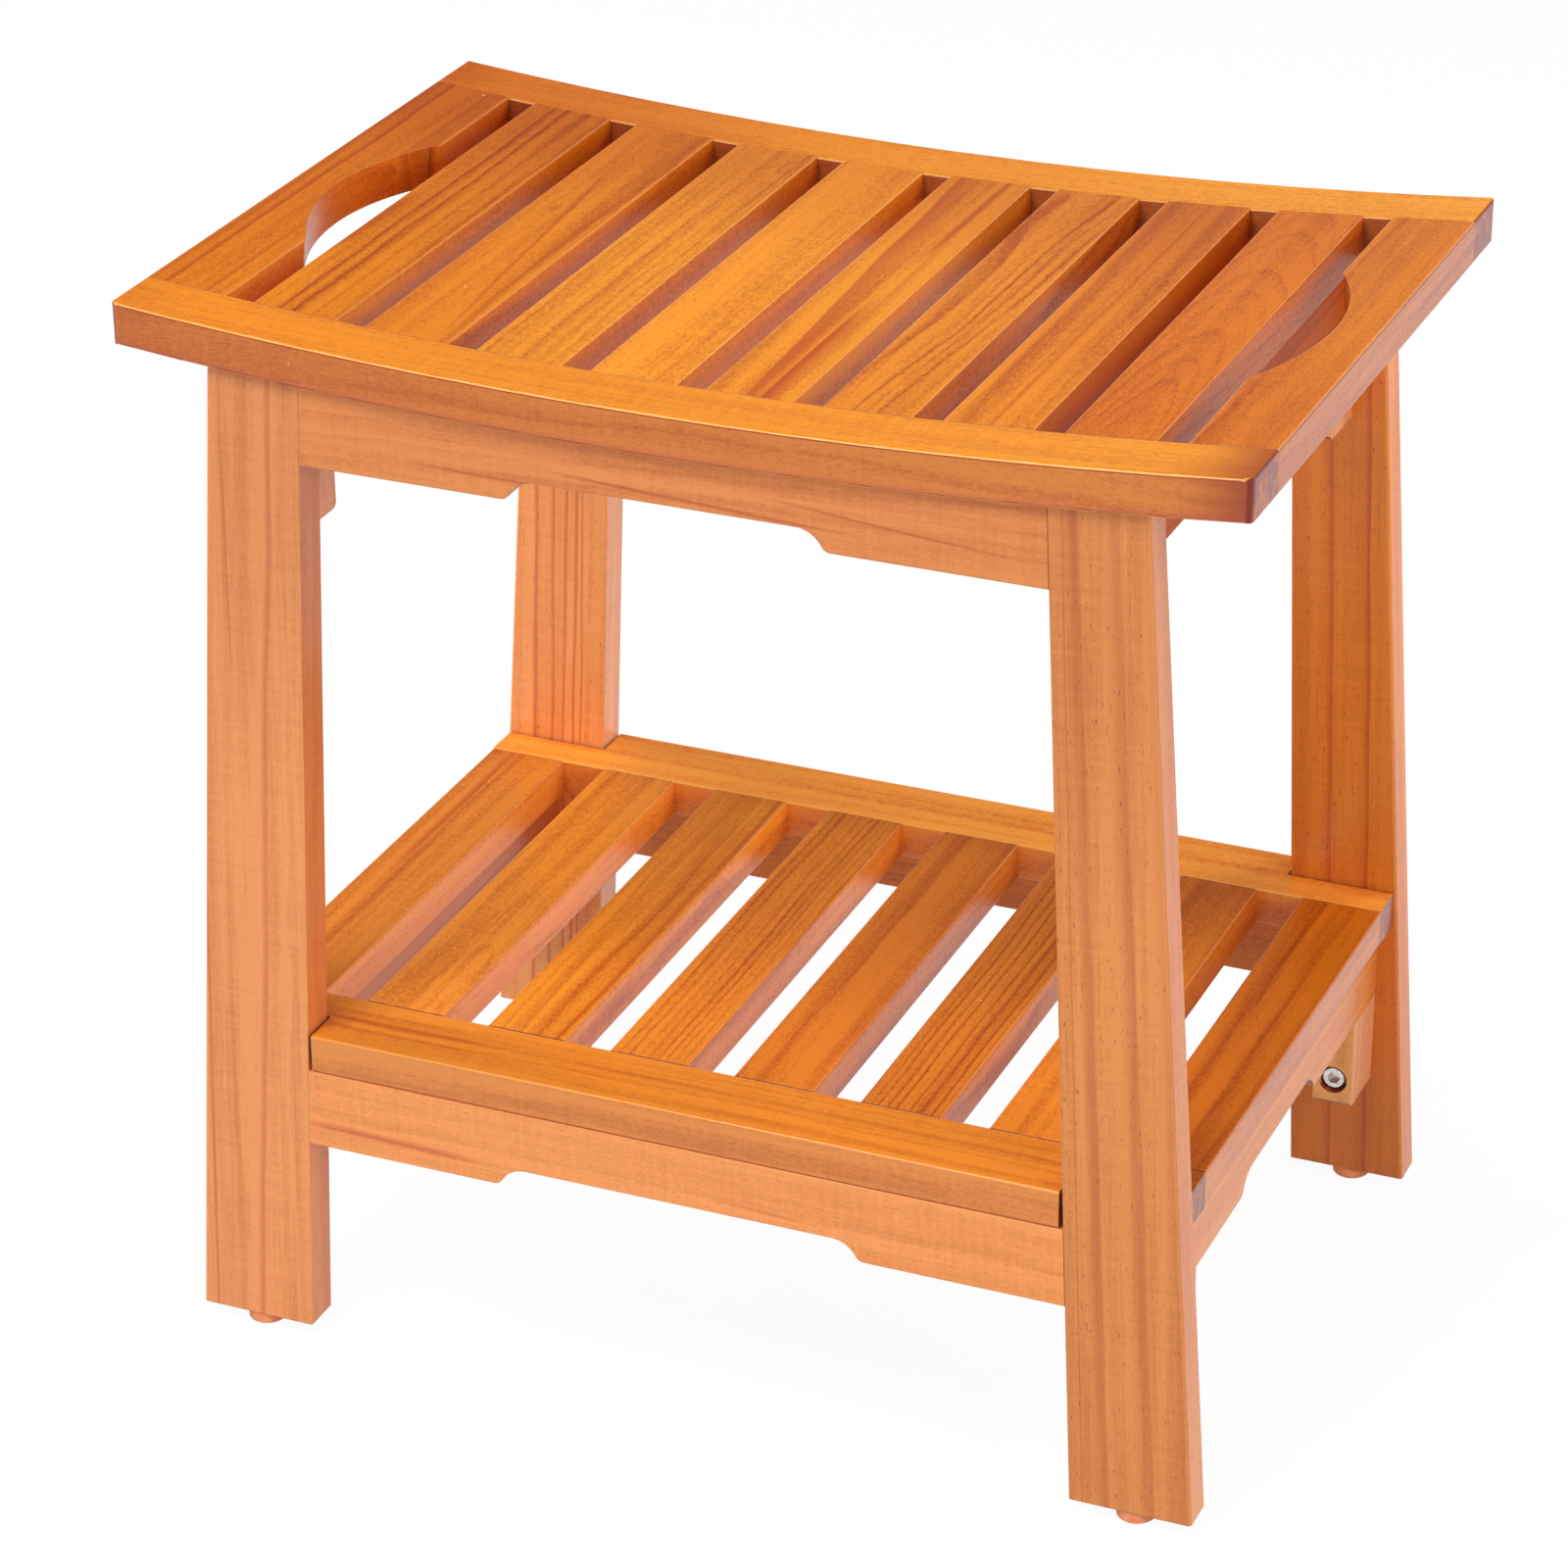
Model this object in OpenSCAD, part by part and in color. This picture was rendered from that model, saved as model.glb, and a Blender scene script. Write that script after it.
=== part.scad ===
// A wooden shower bench: a dished slatted seat with two hand holds, four
// splayed board legs, a slatted shelf between them and arched aprons.
// The seat and the shelf are each bolted to the legs through corner blocks.
// Origin: on the floor, under the middle of the seat. X runs along the seat,
// Y from front to back, Z up. The seat is the same front to back, so the
// front parts are mirrored to make the back ones.

/* [Seat] */
// Length of the seat, end to end
seat_l = 450; // [430:1:490]
// Width of the seat, front to back
seat_w = 306; // [285:1:340]
// Height of the seat's end corners above the floor
seat_h = 447; // [400:1:500]
// How far the middle of the seat dips below its ends
seat_dip = 11; // [6:0.5:14]
// Thickness of the boards of the seat
seat_t = 17; // [15:0.5:21]
// Width of the curved front and back rails
seat_rail_w = 29.5; // [26:0.5:34]
// Width of the two end boards
seat_end_w = 33.7; // [31:0.1:38]
// Width of one slat
seat_slat_w = 35; // [32:0.5:38]
// Radius of the rounded outer edges of the seat
seat_edge_r = 1.5; // [1:0.25:4]
// Radius of the rails' eased inner edges, where slats and end boards meet them
seat_joint_r = 0.5; // [0.25:0.25:1.5]
// Radius of the eased edges of the slats
slat_edge_r = 1; // [0.5:0.25:2]
// Radius of the rounded upright corners of the seat
seat_corner_r = 4; // [2:0.5:8]

/* [Hand holds] */
// Length of a hand hold along its end board
hold_l = 124; // [100:1:150]
// Depth of a hand hold into its end board
hold_depth = 16; // [10:0.5:18]
// Radius of the round lips at the ends of a hand hold
hold_lip_r = 14; // [6:1:24]

/* [Legs] */
// Thickness of a leg board
leg_t = 17; // [16:0.5:22]
// Width of a leg at its foot
leg_foot_w = 50.3; // [46:0.1:56]
// Width of a leg at its head, under the end of the seat
leg_head_w = 38.4; // [36:0.1:46]
// How far a leg's foot stands out beyond its head, at the inner edge
leg_spread = 17.7; // [8:0.1:24]
// Overhang of the seat's end beyond the head of a leg
seat_overhang = 38.4; // [35:0.1:44]
// How far the legs stand back from the seat's front and back faces
leg_inset = 3.5; // [1:0.5:8]
// Radius of the eased outer edges of the legs
leg_edge_r = 1.5; // [0.5:0.25:2.5]
// Radius of the eased inner edges of the legs, where the aprons meet them
leg_inner_edge_r = 0.5; // [0.25:0.25:1]

/* [Aprons and stretchers] */
// Depth of the front and back aprons where they meet the legs
apron_h = 32.5; // [28:0.5:40]
// Thickness of the front and back aprons and stretchers
apron_t = 17; // [14:0.5:17]
// Length of the arch in the front and back aprons
apron_arch_l = 132; // [100:1:180]
// Depth of the front and back stretchers under the shelf
stretcher_h = 33.8; // [28:0.1:42]
// Length of the arch in the stretchers
stretcher_arch_l = 159; // [120:1:200]
// Height of every arch
arch_rise = 8.2; // [4:0.2:11]
// Radius of the round shoulder at the foot of an arch
arch_lip_r = 4; // [2:0.5:6]
// Radius of the hollow that leads up to the flat of an arch
arch_hollow_r = 12; // [9:0.5:20]

/* [Side aprons and corner blocks] */
// Thickness of the side aprons and of the corner blocks under them
side_t = 17; // [15:0.5:19]
// Depth of the side aprons under the seat, at their outer face
seat_side_h = 30.4; // [27:0.1:36]
// Depth of the side aprons under the shelf
shelf_side_h = 33.8; // [30:0.1:40]
// Length of the arch in the side aprons
side_arch_l = 98; // [70:1:130]
// Distance from a leg's outer edge in to the side apron under the seat
seat_side_inset = 14.3; // [11:0.1:16]
// Distance from a leg's outer edge in to the side apron under the shelf
shelf_side_inset = 12.3; // [10:0.1:16]
// Length of a corner block, front to back
block_l = 29; // [26:0.5:34]
// Height of a corner block
block_h = 40.5; // [39.5:0.5:46]
// Height of the bolt above the lower end of its block
block_bolt_up = 12; // [11:0.5:15]
// Radius of the rounded inner corner at the lower end of a block
block_corner_r = 3; // [1:0.5:5]

/* [Shelf] */
// Height of the top of the shelf above the floor
shelf_h = 143.5; // [125:0.5:200]
// Thickness of the boards of the shelf
shelf_t = 16; // [14:0.5:20]
// Width of the shelf's front and back rails, between the legs
shelf_rail_w = 35.5; // [33:0.5:42]
// Width of the shelf's end boards
shelf_end_w = 34.5; // [30:0.5:40]
// Width of one shelf slat
shelf_slat_w = 34; // [28:0.5:40]
// How far the ends of the shelf stand inside the legs' outer edges
shelf_end_inset = 1.1; // [0.5:0.1:4]
// Gap between the notched shelf rails and the legs
shelf_notch_gap = 1.2; // [0.5:0.1:3]
// Radius of the eased edges of the shelf's boards
shelf_edge_r = 1; // [0.5:0.25:2]

/* [Feet] */
// Diameter of a foot pad
pad_d = 16; // [14:0.5:17]
// Height of a foot pad
pad_h = 5.5; // [4.5:0.25:9]
// Diameter of the recess for the screw head in a foot pad
pad_recess_d = 9; // [8:0.25:10]

/* [Joints and fasteners] */
// Thickness of the tenons on the slats and end boards
tenon_t = 7; // [5:0.5:8]
// Length of the tenons
tenon_l = 12; // [8:0.5:14]
// How much narrower a tenon is than its slat, on each side
tenon_shoulder = 5; // [3:0.5:7]
// Clearance round tenons, dowels, bolts and screws
joint_gap = 0.1; // [0.05:0.05:0.2]
// Gap between the seat or shelf and the frame parts under it
seat_gap = 0.2; // [0.1:0.05:0.4]
// Diameter of the dowels that join aprons and stretchers to the legs
frame_dowel_d = 8; // [6:0.5:9]
// Length of those dowels
frame_dowel_l = 30; // [24:1:34]
// Diameter of the dowels that join the blocks to the side aprons
block_dowel_d = 6; // [5:0.5:7]
// Length of those dowels
block_dowel_l = 30; // [24:1:34]
// Diameter of the bolts' shanks
bolt_d = 6; // [5:0.5:6]
// Length of the bolts under the head
bolt_l = 30; // [29:0.5:32]
// Diameter of the bolts' heads
bolt_head_d = 10; // [9:0.25:10.5]
// Height of the bolts' heads
bolt_head_h = 6; // [5:0.25:6]
// Width across the flats of the hexagon socket in a bolt's head
bolt_socket_w = 5; // [4:0.5:5]
// Diameter of the counterbore for a bolt's head
counterbore_d = 12.5; // [11.5:0.25:13]
// Depth of a bolt's head below the face of its block
head_sink = 1.8; // [0.5:0.1:3]
// Outer diameter of the threaded inserts in the legs
insert_d = 9; // [8:0.25:11]
// Length of the threaded inserts
insert_l = 13; // [12:0.25:14]
// Diameter of the wood screws
screw_d = 4; // [3.5:0.25:4.5]
// Length of the wood screws, head included
screw_l = 30; // [27:0.5:31]
// Diameter of the wood screws' heads
screw_head_d = 7; // [6.5:0.25:7.5]
// Depth to which the wood screws reach into the slat above
screw_bite = 10; // [8:0.5:12]
// Diameter of the screws that hold the foot pads
pad_screw_d = 3.5; // [3:0.25:4]
// Length of the screws that hold the foot pads, head included
pad_screw_l = 20; // [14:0.5:26]

/* [Hidden] */

// Facets that stand for a circle: small ones, and the very large seat curve
$fn = 64;
curve_fn = 2880;
// Overshoot of every cutting solid past the face that it cuts
cut = 1;
// Share of its radius by which a rounding crosses the faces that it blends
slip = 0.005;

seat_slats = 8;
shelf_slats = 6;

// Half sizes of the seat
half_l = seat_l / 2;
half_w = seat_w / 2;
inner_w = half_w - seat_rail_w;

// The seat curve is one circle about an axis along Y, high above the seat
curve_r = (half_l * half_l + seat_dip * seat_dip) / (2 * seat_dip);
curve_z = seat_h - seat_dip + curve_r;
under_r = curve_r + seat_t;

// Height of the seat's underside at a distance x from the middle
function under_z(x) = curve_z - sqrt(under_r * under_r - x * x);

// Slats share the length between the end boards evenly
seat_space = seat_l - 2 * seat_end_w - seat_slats * seat_slat_w;
seat_pitch = seat_slat_w + seat_space / (seat_slats + 1);
seat_end_x = half_l - seat_end_w / 2;
function seat_slat_x(i) = (i - (seat_slats + 1) / 2) * seat_pitch;

// Legs: heights, then the inner and outer edge at any height
leg_low = pad_h;
leg_high = seat_h - seat_t;
head_out = half_l - seat_overhang;
head_in = head_out - leg_head_w;
foot_in = head_in + leg_spread;
foot_out = foot_in + leg_foot_w;
function leg_part(z) = (z - leg_low) / (leg_high - leg_low);
function leg_in(z) = foot_in + (head_in - foot_in) * leg_part(z);
function leg_out(z) = foot_out + (head_out - foot_out) * leg_part(z);

// Outer and inner faces of the legs, front to back
leg_y = half_w - leg_inset;
leg_back_y = leg_y - leg_t;
apron_mid_y = leg_y - apron_t / 2;

// Lower edge of the front and back aprons
apron_low = under_z(head_in) - apron_h;

// Side aprons under the seat, and the blocks under them
seat_block_top = under_z(head_out - seat_side_inset) - seat_side_h;
seat_bolt_z = seat_block_top - block_h + block_bolt_up;
seat_side_out = leg_out(seat_bolt_z) - seat_side_inset;
seat_side_x = seat_side_out - side_t / 2;

// Shelf, its slats, the side aprons under it and their blocks
shelf_low = shelf_h - shelf_t;
shelf_half_l = leg_out(shelf_h) - shelf_end_inset;
shelf_tongue = leg_in(shelf_h) - shelf_notch_gap;
shelf_back_y = leg_back_y - shelf_notch_gap;
shelf_inner_w = leg_y - shelf_rail_w;
shelf_space = 2 * (shelf_half_l - shelf_end_w) - shelf_slats * shelf_slat_w;
shelf_pitch = shelf_slat_w + shelf_space / (shelf_slats + 1);
shelf_end_x = shelf_half_l - shelf_end_w / 2;
function shelf_slat_x(i) = (i - (shelf_slats + 1) / 2) * shelf_pitch;
shelf_block_top = shelf_low - shelf_side_h;
shelf_bolt_z = shelf_block_top - block_h + block_bolt_up;
shelf_side_out = leg_out(shelf_bolt_z) - shelf_side_inset;
shelf_side_x = shelf_side_out - side_t / 2;

// Stretchers
stretcher_high = shelf_low - seat_gap;
stretcher_low = stretcher_high - stretcher_h;

// Dowels stand this share of a joint's length in from each of its ends
dowel_share = 0.27;
// Room for glue past the end of a dowel
dowel_room = 0.5;
// Sides of the square that bevels the ends of dowels, and of bolt heads
dowel_edge = 1;
metal_edge = 0.7;
frame_dowel_reach = frame_dowel_l / 2;
block_dowel_reach = block_dowel_l / 2;

// Bolts: the face of the blocks, the seat of the heads, and the hexagon socket
block_face_y = leg_back_y - block_l;
bolt_seat_y = block_face_y + head_sink + bolt_head_h;
socket_depth = bolt_head_h / 2;

// Wood screws: two in each half of a side apron, clear of arch and block
screw_head_h = 2.5;
screw_tip = 4;
screw_below = screw_l - screw_head_h - screw_bite;
screw_places = [side_arch_l / 2 + screw_head_d, block_face_y - screw_head_d];
screw_bore_d = screw_head_d + 1;

// Feet: the recess and the screw head in it, below the bottom of a leg
pad_x = (foot_in + foot_out) / 2;
pad_y = (leg_y + leg_back_y) / 2;
pad_recess_h = 3;
pad_edge_r = 1;

// Colours: orange boards, darker cross boards and blocks, pale dowels
rail_colour = "#e39044";
slat_colour = "#cf7a30";
leg_colour = "#d98c55";
block_colour = "#bd6a36";
dowel_colour = "#e3c391";
steel_colour = "#c8c8c6";
brass_colour = "#b99a4a";
pad_colour = "#5a2b1c";

// The corner at the origin, down to a quarter circle of radius r
module corner_cut(r) {
    difference() {
        translate([-cut, -cut]) square(r + cut);
        translate((1 - slip) * [r, r]) circle(r);
    }
}

// A rectangle from the origin, with round corners: the two on the X axis have
// the radius near, the other two far
module eased_rectangle(w, h, near, far) {
    difference() {
        square([w, h]);
        corner_cut(near);
        translate([w, 0]) mirror([1, 0]) corner_cut(near);
        translate([0, h]) mirror([0, 1]) corner_cut(far);
        translate([w, h]) rotate(180) corner_cut(far);
    }
}

// The hollow of an arch of length l and height h: round shoulders of radius
// lip, then hollows of radius bow that rise to a flat, or are one bow. It
// opens downwards, and the edge that it is cut from lies along Y = 0.
module arch_hollow(l, h, lip, bow) {
    turn = acos(1 - h / (lip + bow));
    flat = l / 2 - (lip + bow) * sin(turn);
    meet_h = lip * (1 - cos(turn));
    difference() {
        union() {
            for (x = flat > slip ? [-flat, flat] : [0])
                translate([x, h - bow]) circle(bow + slip * lip);
            if (flat > slip) translate([-flat, -cut]) square([2 * flat, h + cut]);
            translate([-l / 2, -cut]) square([l, meet_h + cut]);
        }
        for (side = [-1, 1]) translate([side * l / 2, (1 - slip) * lip]) circle(lip);
    }
}

// Lays an XY outline upright in the XZ plane, from y0 to y1
module upright(y0, y1) {
    translate([0, y1, 0]) rotate([90, 0, 0]) linear_extrude(y1 - y0) children();
}

// Lays an XY outline upright in the YZ plane, from x0 to x1
module sideways(x0, x1) {
    translate([x0, 0, 0]) rotate([90, 0, 90]) linear_extrude(x1 - x0) children();
}

// Its children, and their mirror image
module mirror_copy(v) {
    children();
    mirror(v) children();
}

// Sweeps an outline, of depth below the seat's top by place across the seat,
// along the seat curve and a little past both ends
module along_curve() {
    reach = asin(half_l / curve_r) + cut / 4;
    translate([0, 0, curve_z]) rotate([-90, 90 - reach, 0])
        rotate_extrude(angle = 2 * reach, $fn = curve_fn)
            translate([curve_r, 0]) children();
}

// Puts a piece whose top lies at Z = 0 at the place x along the seat curve
module on_curve(x) {
    translate([0, 0, curve_z]) rotate([0, -asin(x / curve_r), 0])
        translate([0, 0, -curve_r]) children();
}

// The space of the seat, with the gap that the frame keeps to it
module seat_room() {
    translate([0, half_w + cut, curve_z]) rotate([90, 0, 0])
        cylinder(h = seat_w + 2 * cut, r = under_r + seat_gap, $fn = curve_fn);
}

// A tenon at the front end of a board of width w and thickness t, for a rail
// whose inner face lies at face. grow makes it the mortise.
module tenon(w, t, face, grow) {
    half = w / 2 - tenon_shoulder + grow;
    translate([-half, -face - tenon_l - grow, -(t + tenon_t) / 2 - grow])
        cube([2 * half, tenon_l + grow + cut, tenon_t + 2 * grow]);
}

// A slat with a tenon at each end, its top at Z = 0
module slat(w, t, face, r) {
    upright(-face, face) translate([-w / 2, -t]) eased_rectangle(w, t, r, r);
    mirror_copy([0, 1, 0]) tenon(w, t, face, 0);
}

// A wood screw that points up, the underside of its head at Z = 0
module wood_screw() {
    shank = screw_l - screw_head_h - screw_tip;
    translate([0, 0, -screw_head_h]) cylinder(h = screw_head_h, d = screw_head_d);
    cylinder(h = shank, d = screw_d);
    translate([0, 0, shank]) cylinder(h = screw_tip, d1 = screw_d, d2 = 1);
}

// Puts a piece at each screw of the side apron at x, under a board whose
// underside there is at level
module at_screws(x, level) {
    mirror_copy([0, 1, 0]) for (y = screw_places)
        translate([x, y, level - screw_below]) children();
}

// The hole for a wood screw: a bore up to the head, then one for the shank
module screw_hole() {
    translate([0, 0, -seat_side_h - shelf_side_h])
        cylinder(h = seat_side_h + shelf_side_h, d = screw_bore_d);
    translate([0, 0, -cut])
        cylinder(h = screw_l - screw_head_h + joint_gap + cut, d = screw_d + 2 * joint_gap);
}

// A dowel along Z with its middle at the origin, and the bore for it
module dowel(d, reach) {
    translate([0, 0, -reach]) rotate_extrude() difference() {
        square([d / 2, 2 * reach]);
        translate([d / 2, 0]) rotate(45) square(dowel_edge, center = true);
        translate([d / 2, 2 * reach]) rotate(45) square(dowel_edge, center = true);
    }
}
module dowel_hole(d, reach) {
    deep = reach + dowel_room;
    translate([0, 0, -deep]) cylinder(h = 2 * deep, d = d + 2 * joint_gap);
}

// A bolt along Z: the underside of its head at Z = 0, the head below it
module bolt() {
    difference() {
        union() {
            cylinder(h = bolt_l, d = bolt_d);
            translate([0, 0, -bolt_head_h]) rotate_extrude() difference() {
                square([bolt_head_d / 2, bolt_head_h]);
                translate([bolt_head_d / 2, 0]) rotate(45) square(metal_edge, center = true);
            }
        }
        translate([0, 0, -bolt_head_h - cut])
            cylinder(h = socket_depth + cut, d = bolt_socket_w / cos(30), $fn = 6);
    }
}

// Puts a piece at each bolt of the front right leg, pointing to the front
module at_bolts() {
    translate([seat_side_x, -bolt_seat_y, seat_bolt_z]) rotate([90, 0, 0]) children();
    translate([shelf_side_x, -bolt_seat_y, shelf_bolt_z]) rotate([90, 0, 0]) children();
}

// Puts a piece at each frame dowel of the front right leg, along X
module at_frame_dowels() {
    for (joint = [[apron_low, apron_h], [stretcher_low, stretcher_h]])
        for (share = [dowel_share, 1 - dowel_share]) {
            z = joint[0] + share * joint[1];
            translate([leg_in(z), -apron_mid_y, z]) rotate([0, 90, 0]) children();
        }
}

// Puts a piece at each dowel of a block whose top is at z, along Z
module at_block_dowels(x, z) {
    for (share = [dowel_share, 1 - dowel_share])
        translate([x, -leg_back_y + share * block_l, z]) children();
}

// The edge from foot to head of a leg, to be cut round: turn is 0 on its
// inner side and 1 on its outer side
module leg_arris(foot, head, y, back, turn, r) {
    slope = atan2(head - foot, leg_high - leg_low);
    translate([foot, y, leg_low]) rotate([0, slope, 0]) translate([0, 0, -cut])
        linear_extrude(leg_high - leg_low + 3 * cut)
            mirror([turn, 0]) mirror([0, back]) corner_cut(r);
}

// The front right leg
module leg() {
    top = leg_high + cut;
    difference() {
        upright(-leg_y, -leg_back_y) polygon([
            [foot_in, leg_low], [foot_out, leg_low], [leg_out(top), top], [leg_in(top), top]
        ]);
        seat_room();
        for (face = [[-leg_y, 0], [-leg_back_y, 1]]) {
            leg_arris(foot_in, head_in, face[0], face[1], 0, leg_inner_edge_r);
            leg_arris(foot_out, head_out, face[0], face[1], 1, leg_edge_r);
        }
        at_frame_dowels() dowel_hole(frame_dowel_d, frame_dowel_reach);
        at_bolts() translate([0, 0, leg_back_y - bolt_seat_y - cut])
            cylinder(h = insert_l + joint_gap + cut, d = insert_d + 2 * joint_gap);
        translate([pad_x, -pad_y, leg_low - cut])
            cylinder(h = pad_screw_l + cut, d = pad_screw_d + 2 * joint_gap);
    }
}

// The front rail of the seat, swept along the seat curve
module seat_rail() {
    difference() {
        intersection() {
            along_curve() translate([0, -half_w])
                eased_rectangle(seat_t, seat_rail_w, seat_edge_r, seat_joint_r);
            linear_extrude(seat_h + cut) translate([-half_l, -half_w])
                eased_rectangle(seat_l, 2 * seat_w, seat_corner_r, seat_corner_r);
        }
        seat_end_arris(seat_edge_r);
        for (i = [1:seat_slats]) on_curve(seat_slat_x(i))
            tenon(seat_slat_w, seat_t, inner_w, joint_gap);
        for (side = [-1, 1]) on_curve(side * seat_end_x)
            tenon(seat_end_w, seat_t, inner_w, joint_gap);
    }
}

// The arris between the top and the ends of the seat, down to radius r
module seat_end_arris(r) {
    x = half_l - (1 - slip) * r;
    reach = curve_r + (1 - slip) * r;
    slope = asin(x / reach);
    upright(-half_w - cut, half_w + cut) mirror_copy([1, 0])
        translate([x, curve_z - reach * cos(slope)]) difference() {
            polygon([[0, 0], [2 * r, 0], [2 * r, 2 * r], 2 * r * [-sin(slope), cos(slope)]]);
            circle(r);
        }
}

// The right end board of the seat, with a hand hold in its inner edge
module seat_end() {
    w = seat_end_w;
    bow = (hold_l * hold_l / 4 + hold_depth * hold_depth) / (2 * hold_depth) - hold_lip_r;
    difference() {
        on_curve(seat_end_x) {
            difference() {
                upright(-inner_w, inner_w) translate([-w / 2, -seat_t])
                    eased_rectangle(w + seat_t, seat_t, slat_edge_r, slat_edge_r);
                translate([-w / 2, 0, -seat_t - cut]) linear_extrude(seat_t + 2 * cut)
                    rotate(-90) arch_hollow(hold_l, hold_depth, hold_lip_r, bow);
            }
            mirror_copy([0, 1, 0]) tenon(w, seat_t, inner_w, 0);
        }
        translate([half_l, -half_w, 0]) cube([2 * seat_t, seat_w, seat_h + seat_t]);
        seat_end_arris(seat_edge_r);
    }
}

// The wood screws up through a side apron of the seat
module at_seat_screws() {
    at_screws(seat_side_x, under_z(seat_side_x)) children();
}

// The wood screws up through a side apron of the shelf
module at_shelf_screws() {
    at_screws(shelf_side_x, shelf_low) children();
}

// A right side apron with its lower edge at low, its arch cut into it
module side_apron(x, low, high) {
    difference() {
        sideways(x - side_t / 2, x + side_t / 2) difference() {
            translate([-leg_back_y, low]) square([2 * leg_back_y, high - low]);
            translate([0, low]) arch_hollow(side_arch_l, arch_rise, arch_lip_r, arch_hollow_r);
        }
        mirror_copy([0, 1, 0]) at_block_dowels(x, low) dowel_hole(block_dowel_d, block_dowel_reach);
    }
}

// The front right corner block whose top is at high
module block(x, high) {
    low = high - block_h;
    difference() {
        sideways(x - side_t / 2, x + side_t / 2) translate([-leg_back_y, low]) difference() {
            square([block_l, block_h]);
            translate([block_l, 0]) mirror([1, 0]) corner_cut(block_corner_r);
        }
        translate([x, -bolt_seat_y, low + block_bolt_up]) rotate([90, 0, 0]) {
            cylinder(h = block_l, d = bolt_d + 2 * joint_gap);
            translate([0, 0, -bolt_head_h - head_sink - cut])
                cylinder(h = bolt_head_h + head_sink + cut, d = counterbore_d);
        }
        at_block_dowels(x, high) dowel_hole(block_dowel_d, block_dowel_reach);
    }
}

// A front board between the legs, its lower edge at low, with an arch
module cross_board(low, high, arch_l) {
    difference() {
        upright(-leg_y, -leg_y + apron_t) difference() {
            polygon([
                [-leg_in(low), low], [leg_in(low), low], [leg_in(high), high], [-leg_in(high), high]
            ]);
            translate([0, low]) arch_hollow(arch_l, arch_rise, arch_lip_r, arch_hollow_r);
        }
        mirror_copy([1, 0, 0]) at_frame_dowels() dowel_hole(frame_dowel_d, frame_dowel_reach);
    }
}

// The front rail of the shelf, notched at both ends for the legs
module shelf_rail() {
    difference() {
        sideways(-shelf_half_l, shelf_half_l) translate([-leg_y, shelf_low])
            eased_rectangle(shelf_rail_w, shelf_t, shelf_edge_r, shelf_edge_r);
        mirror_copy([1, 0, 0]) translate([shelf_tongue, -leg_y - cut, shelf_low - cut])
            cube([shelf_half_l, leg_y - shelf_back_y + cut, shelf_t + 2 * cut]);
        for (i = [1:shelf_slats]) translate([shelf_slat_x(i), 0, shelf_h])
            tenon(shelf_slat_w, shelf_t, shelf_inner_w, joint_gap);
        for (side = [-1, 1]) translate([side * shelf_end_x, 0, shelf_h])
            tenon(shelf_end_w, shelf_t, shelf_inner_w, joint_gap);
    }
}

// A slat of the seat, counted from the left; the screws enter the end ones
module seat_slat(i) {
    color(slat_colour) difference() {
        on_curve(seat_slat_x(i)) slat(seat_slat_w, seat_t, inner_w, slat_edge_r);
        if (i == 1) mirror([1, 0, 0]) at_seat_screws() screw_hole();
        if (i == seat_slats) at_seat_screws() screw_hole();
    }
}

// A slat of the shelf, counted from the left
module shelf_slat(i) {
    color(slat_colour) translate([shelf_slat_x(i), 0, shelf_h])
        slat(shelf_slat_w, shelf_t, shelf_inner_w, shelf_edge_r);
}

// Rails and end boards of the seat and the shelf
module seat_front_rail() { color(rail_colour) seat_rail(); }
module seat_back_rail() { color(rail_colour) mirror([0, 1, 0]) seat_rail(); }
module seat_right_end() { color(slat_colour) seat_end(); }
module seat_left_end() { color(slat_colour) mirror([1, 0, 0]) seat_end(); }
module shelf_front_rail() { color(rail_colour) shelf_rail(); }
module shelf_back_rail() { color(rail_colour) mirror([0, 1, 0]) shelf_rail(); }
module shelf_right_end() {
    color(slat_colour) difference() {
        translate([shelf_end_x, 0, shelf_h])
            slat(shelf_end_w, shelf_t, shelf_inner_w, shelf_edge_r);
        at_shelf_screws() screw_hole();
    }
}
module shelf_left_end() { mirror([1, 0, 0]) shelf_right_end(); }

// Side aprons
module seat_right_apron() {
    color(block_colour) difference() {
        side_apron(seat_side_x, seat_block_top, seat_h);
        seat_room();
        at_seat_screws() screw_hole();
    }
}
module seat_left_apron() { mirror([1, 0, 0]) seat_right_apron(); }
module shelf_right_apron() {
    color(block_colour) difference() {
        side_apron(shelf_side_x, shelf_block_top, shelf_low - seat_gap);
        at_shelf_screws() screw_hole();
    }
}
module shelf_left_apron() { mirror([1, 0, 0]) shelf_right_apron(); }

// Corner blocks
module seat_block_front_right() { color(block_colour) block(seat_side_x, seat_block_top); }
module seat_block_front_left() { mirror([1, 0, 0]) seat_block_front_right(); }
module seat_block_back_right() { mirror([0, 1, 0]) seat_block_front_right(); }
module seat_block_back_left() { rotate(180) seat_block_front_right(); }
module shelf_block_front_right() { color(block_colour) block(shelf_side_x, shelf_block_top); }
module shelf_block_front_left() { mirror([1, 0, 0]) shelf_block_front_right(); }
module shelf_block_back_right() { mirror([0, 1, 0]) shelf_block_front_right(); }
module shelf_block_back_left() { rotate(180) shelf_block_front_right(); }

// Legs
module leg_front_right() { color(leg_colour) leg(); }
module leg_front_left() { mirror([1, 0, 0]) leg_front_right(); }
module leg_back_right() { mirror([0, 1, 0]) leg_front_right(); }
module leg_back_left() { rotate(180) leg_front_right(); }

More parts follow.
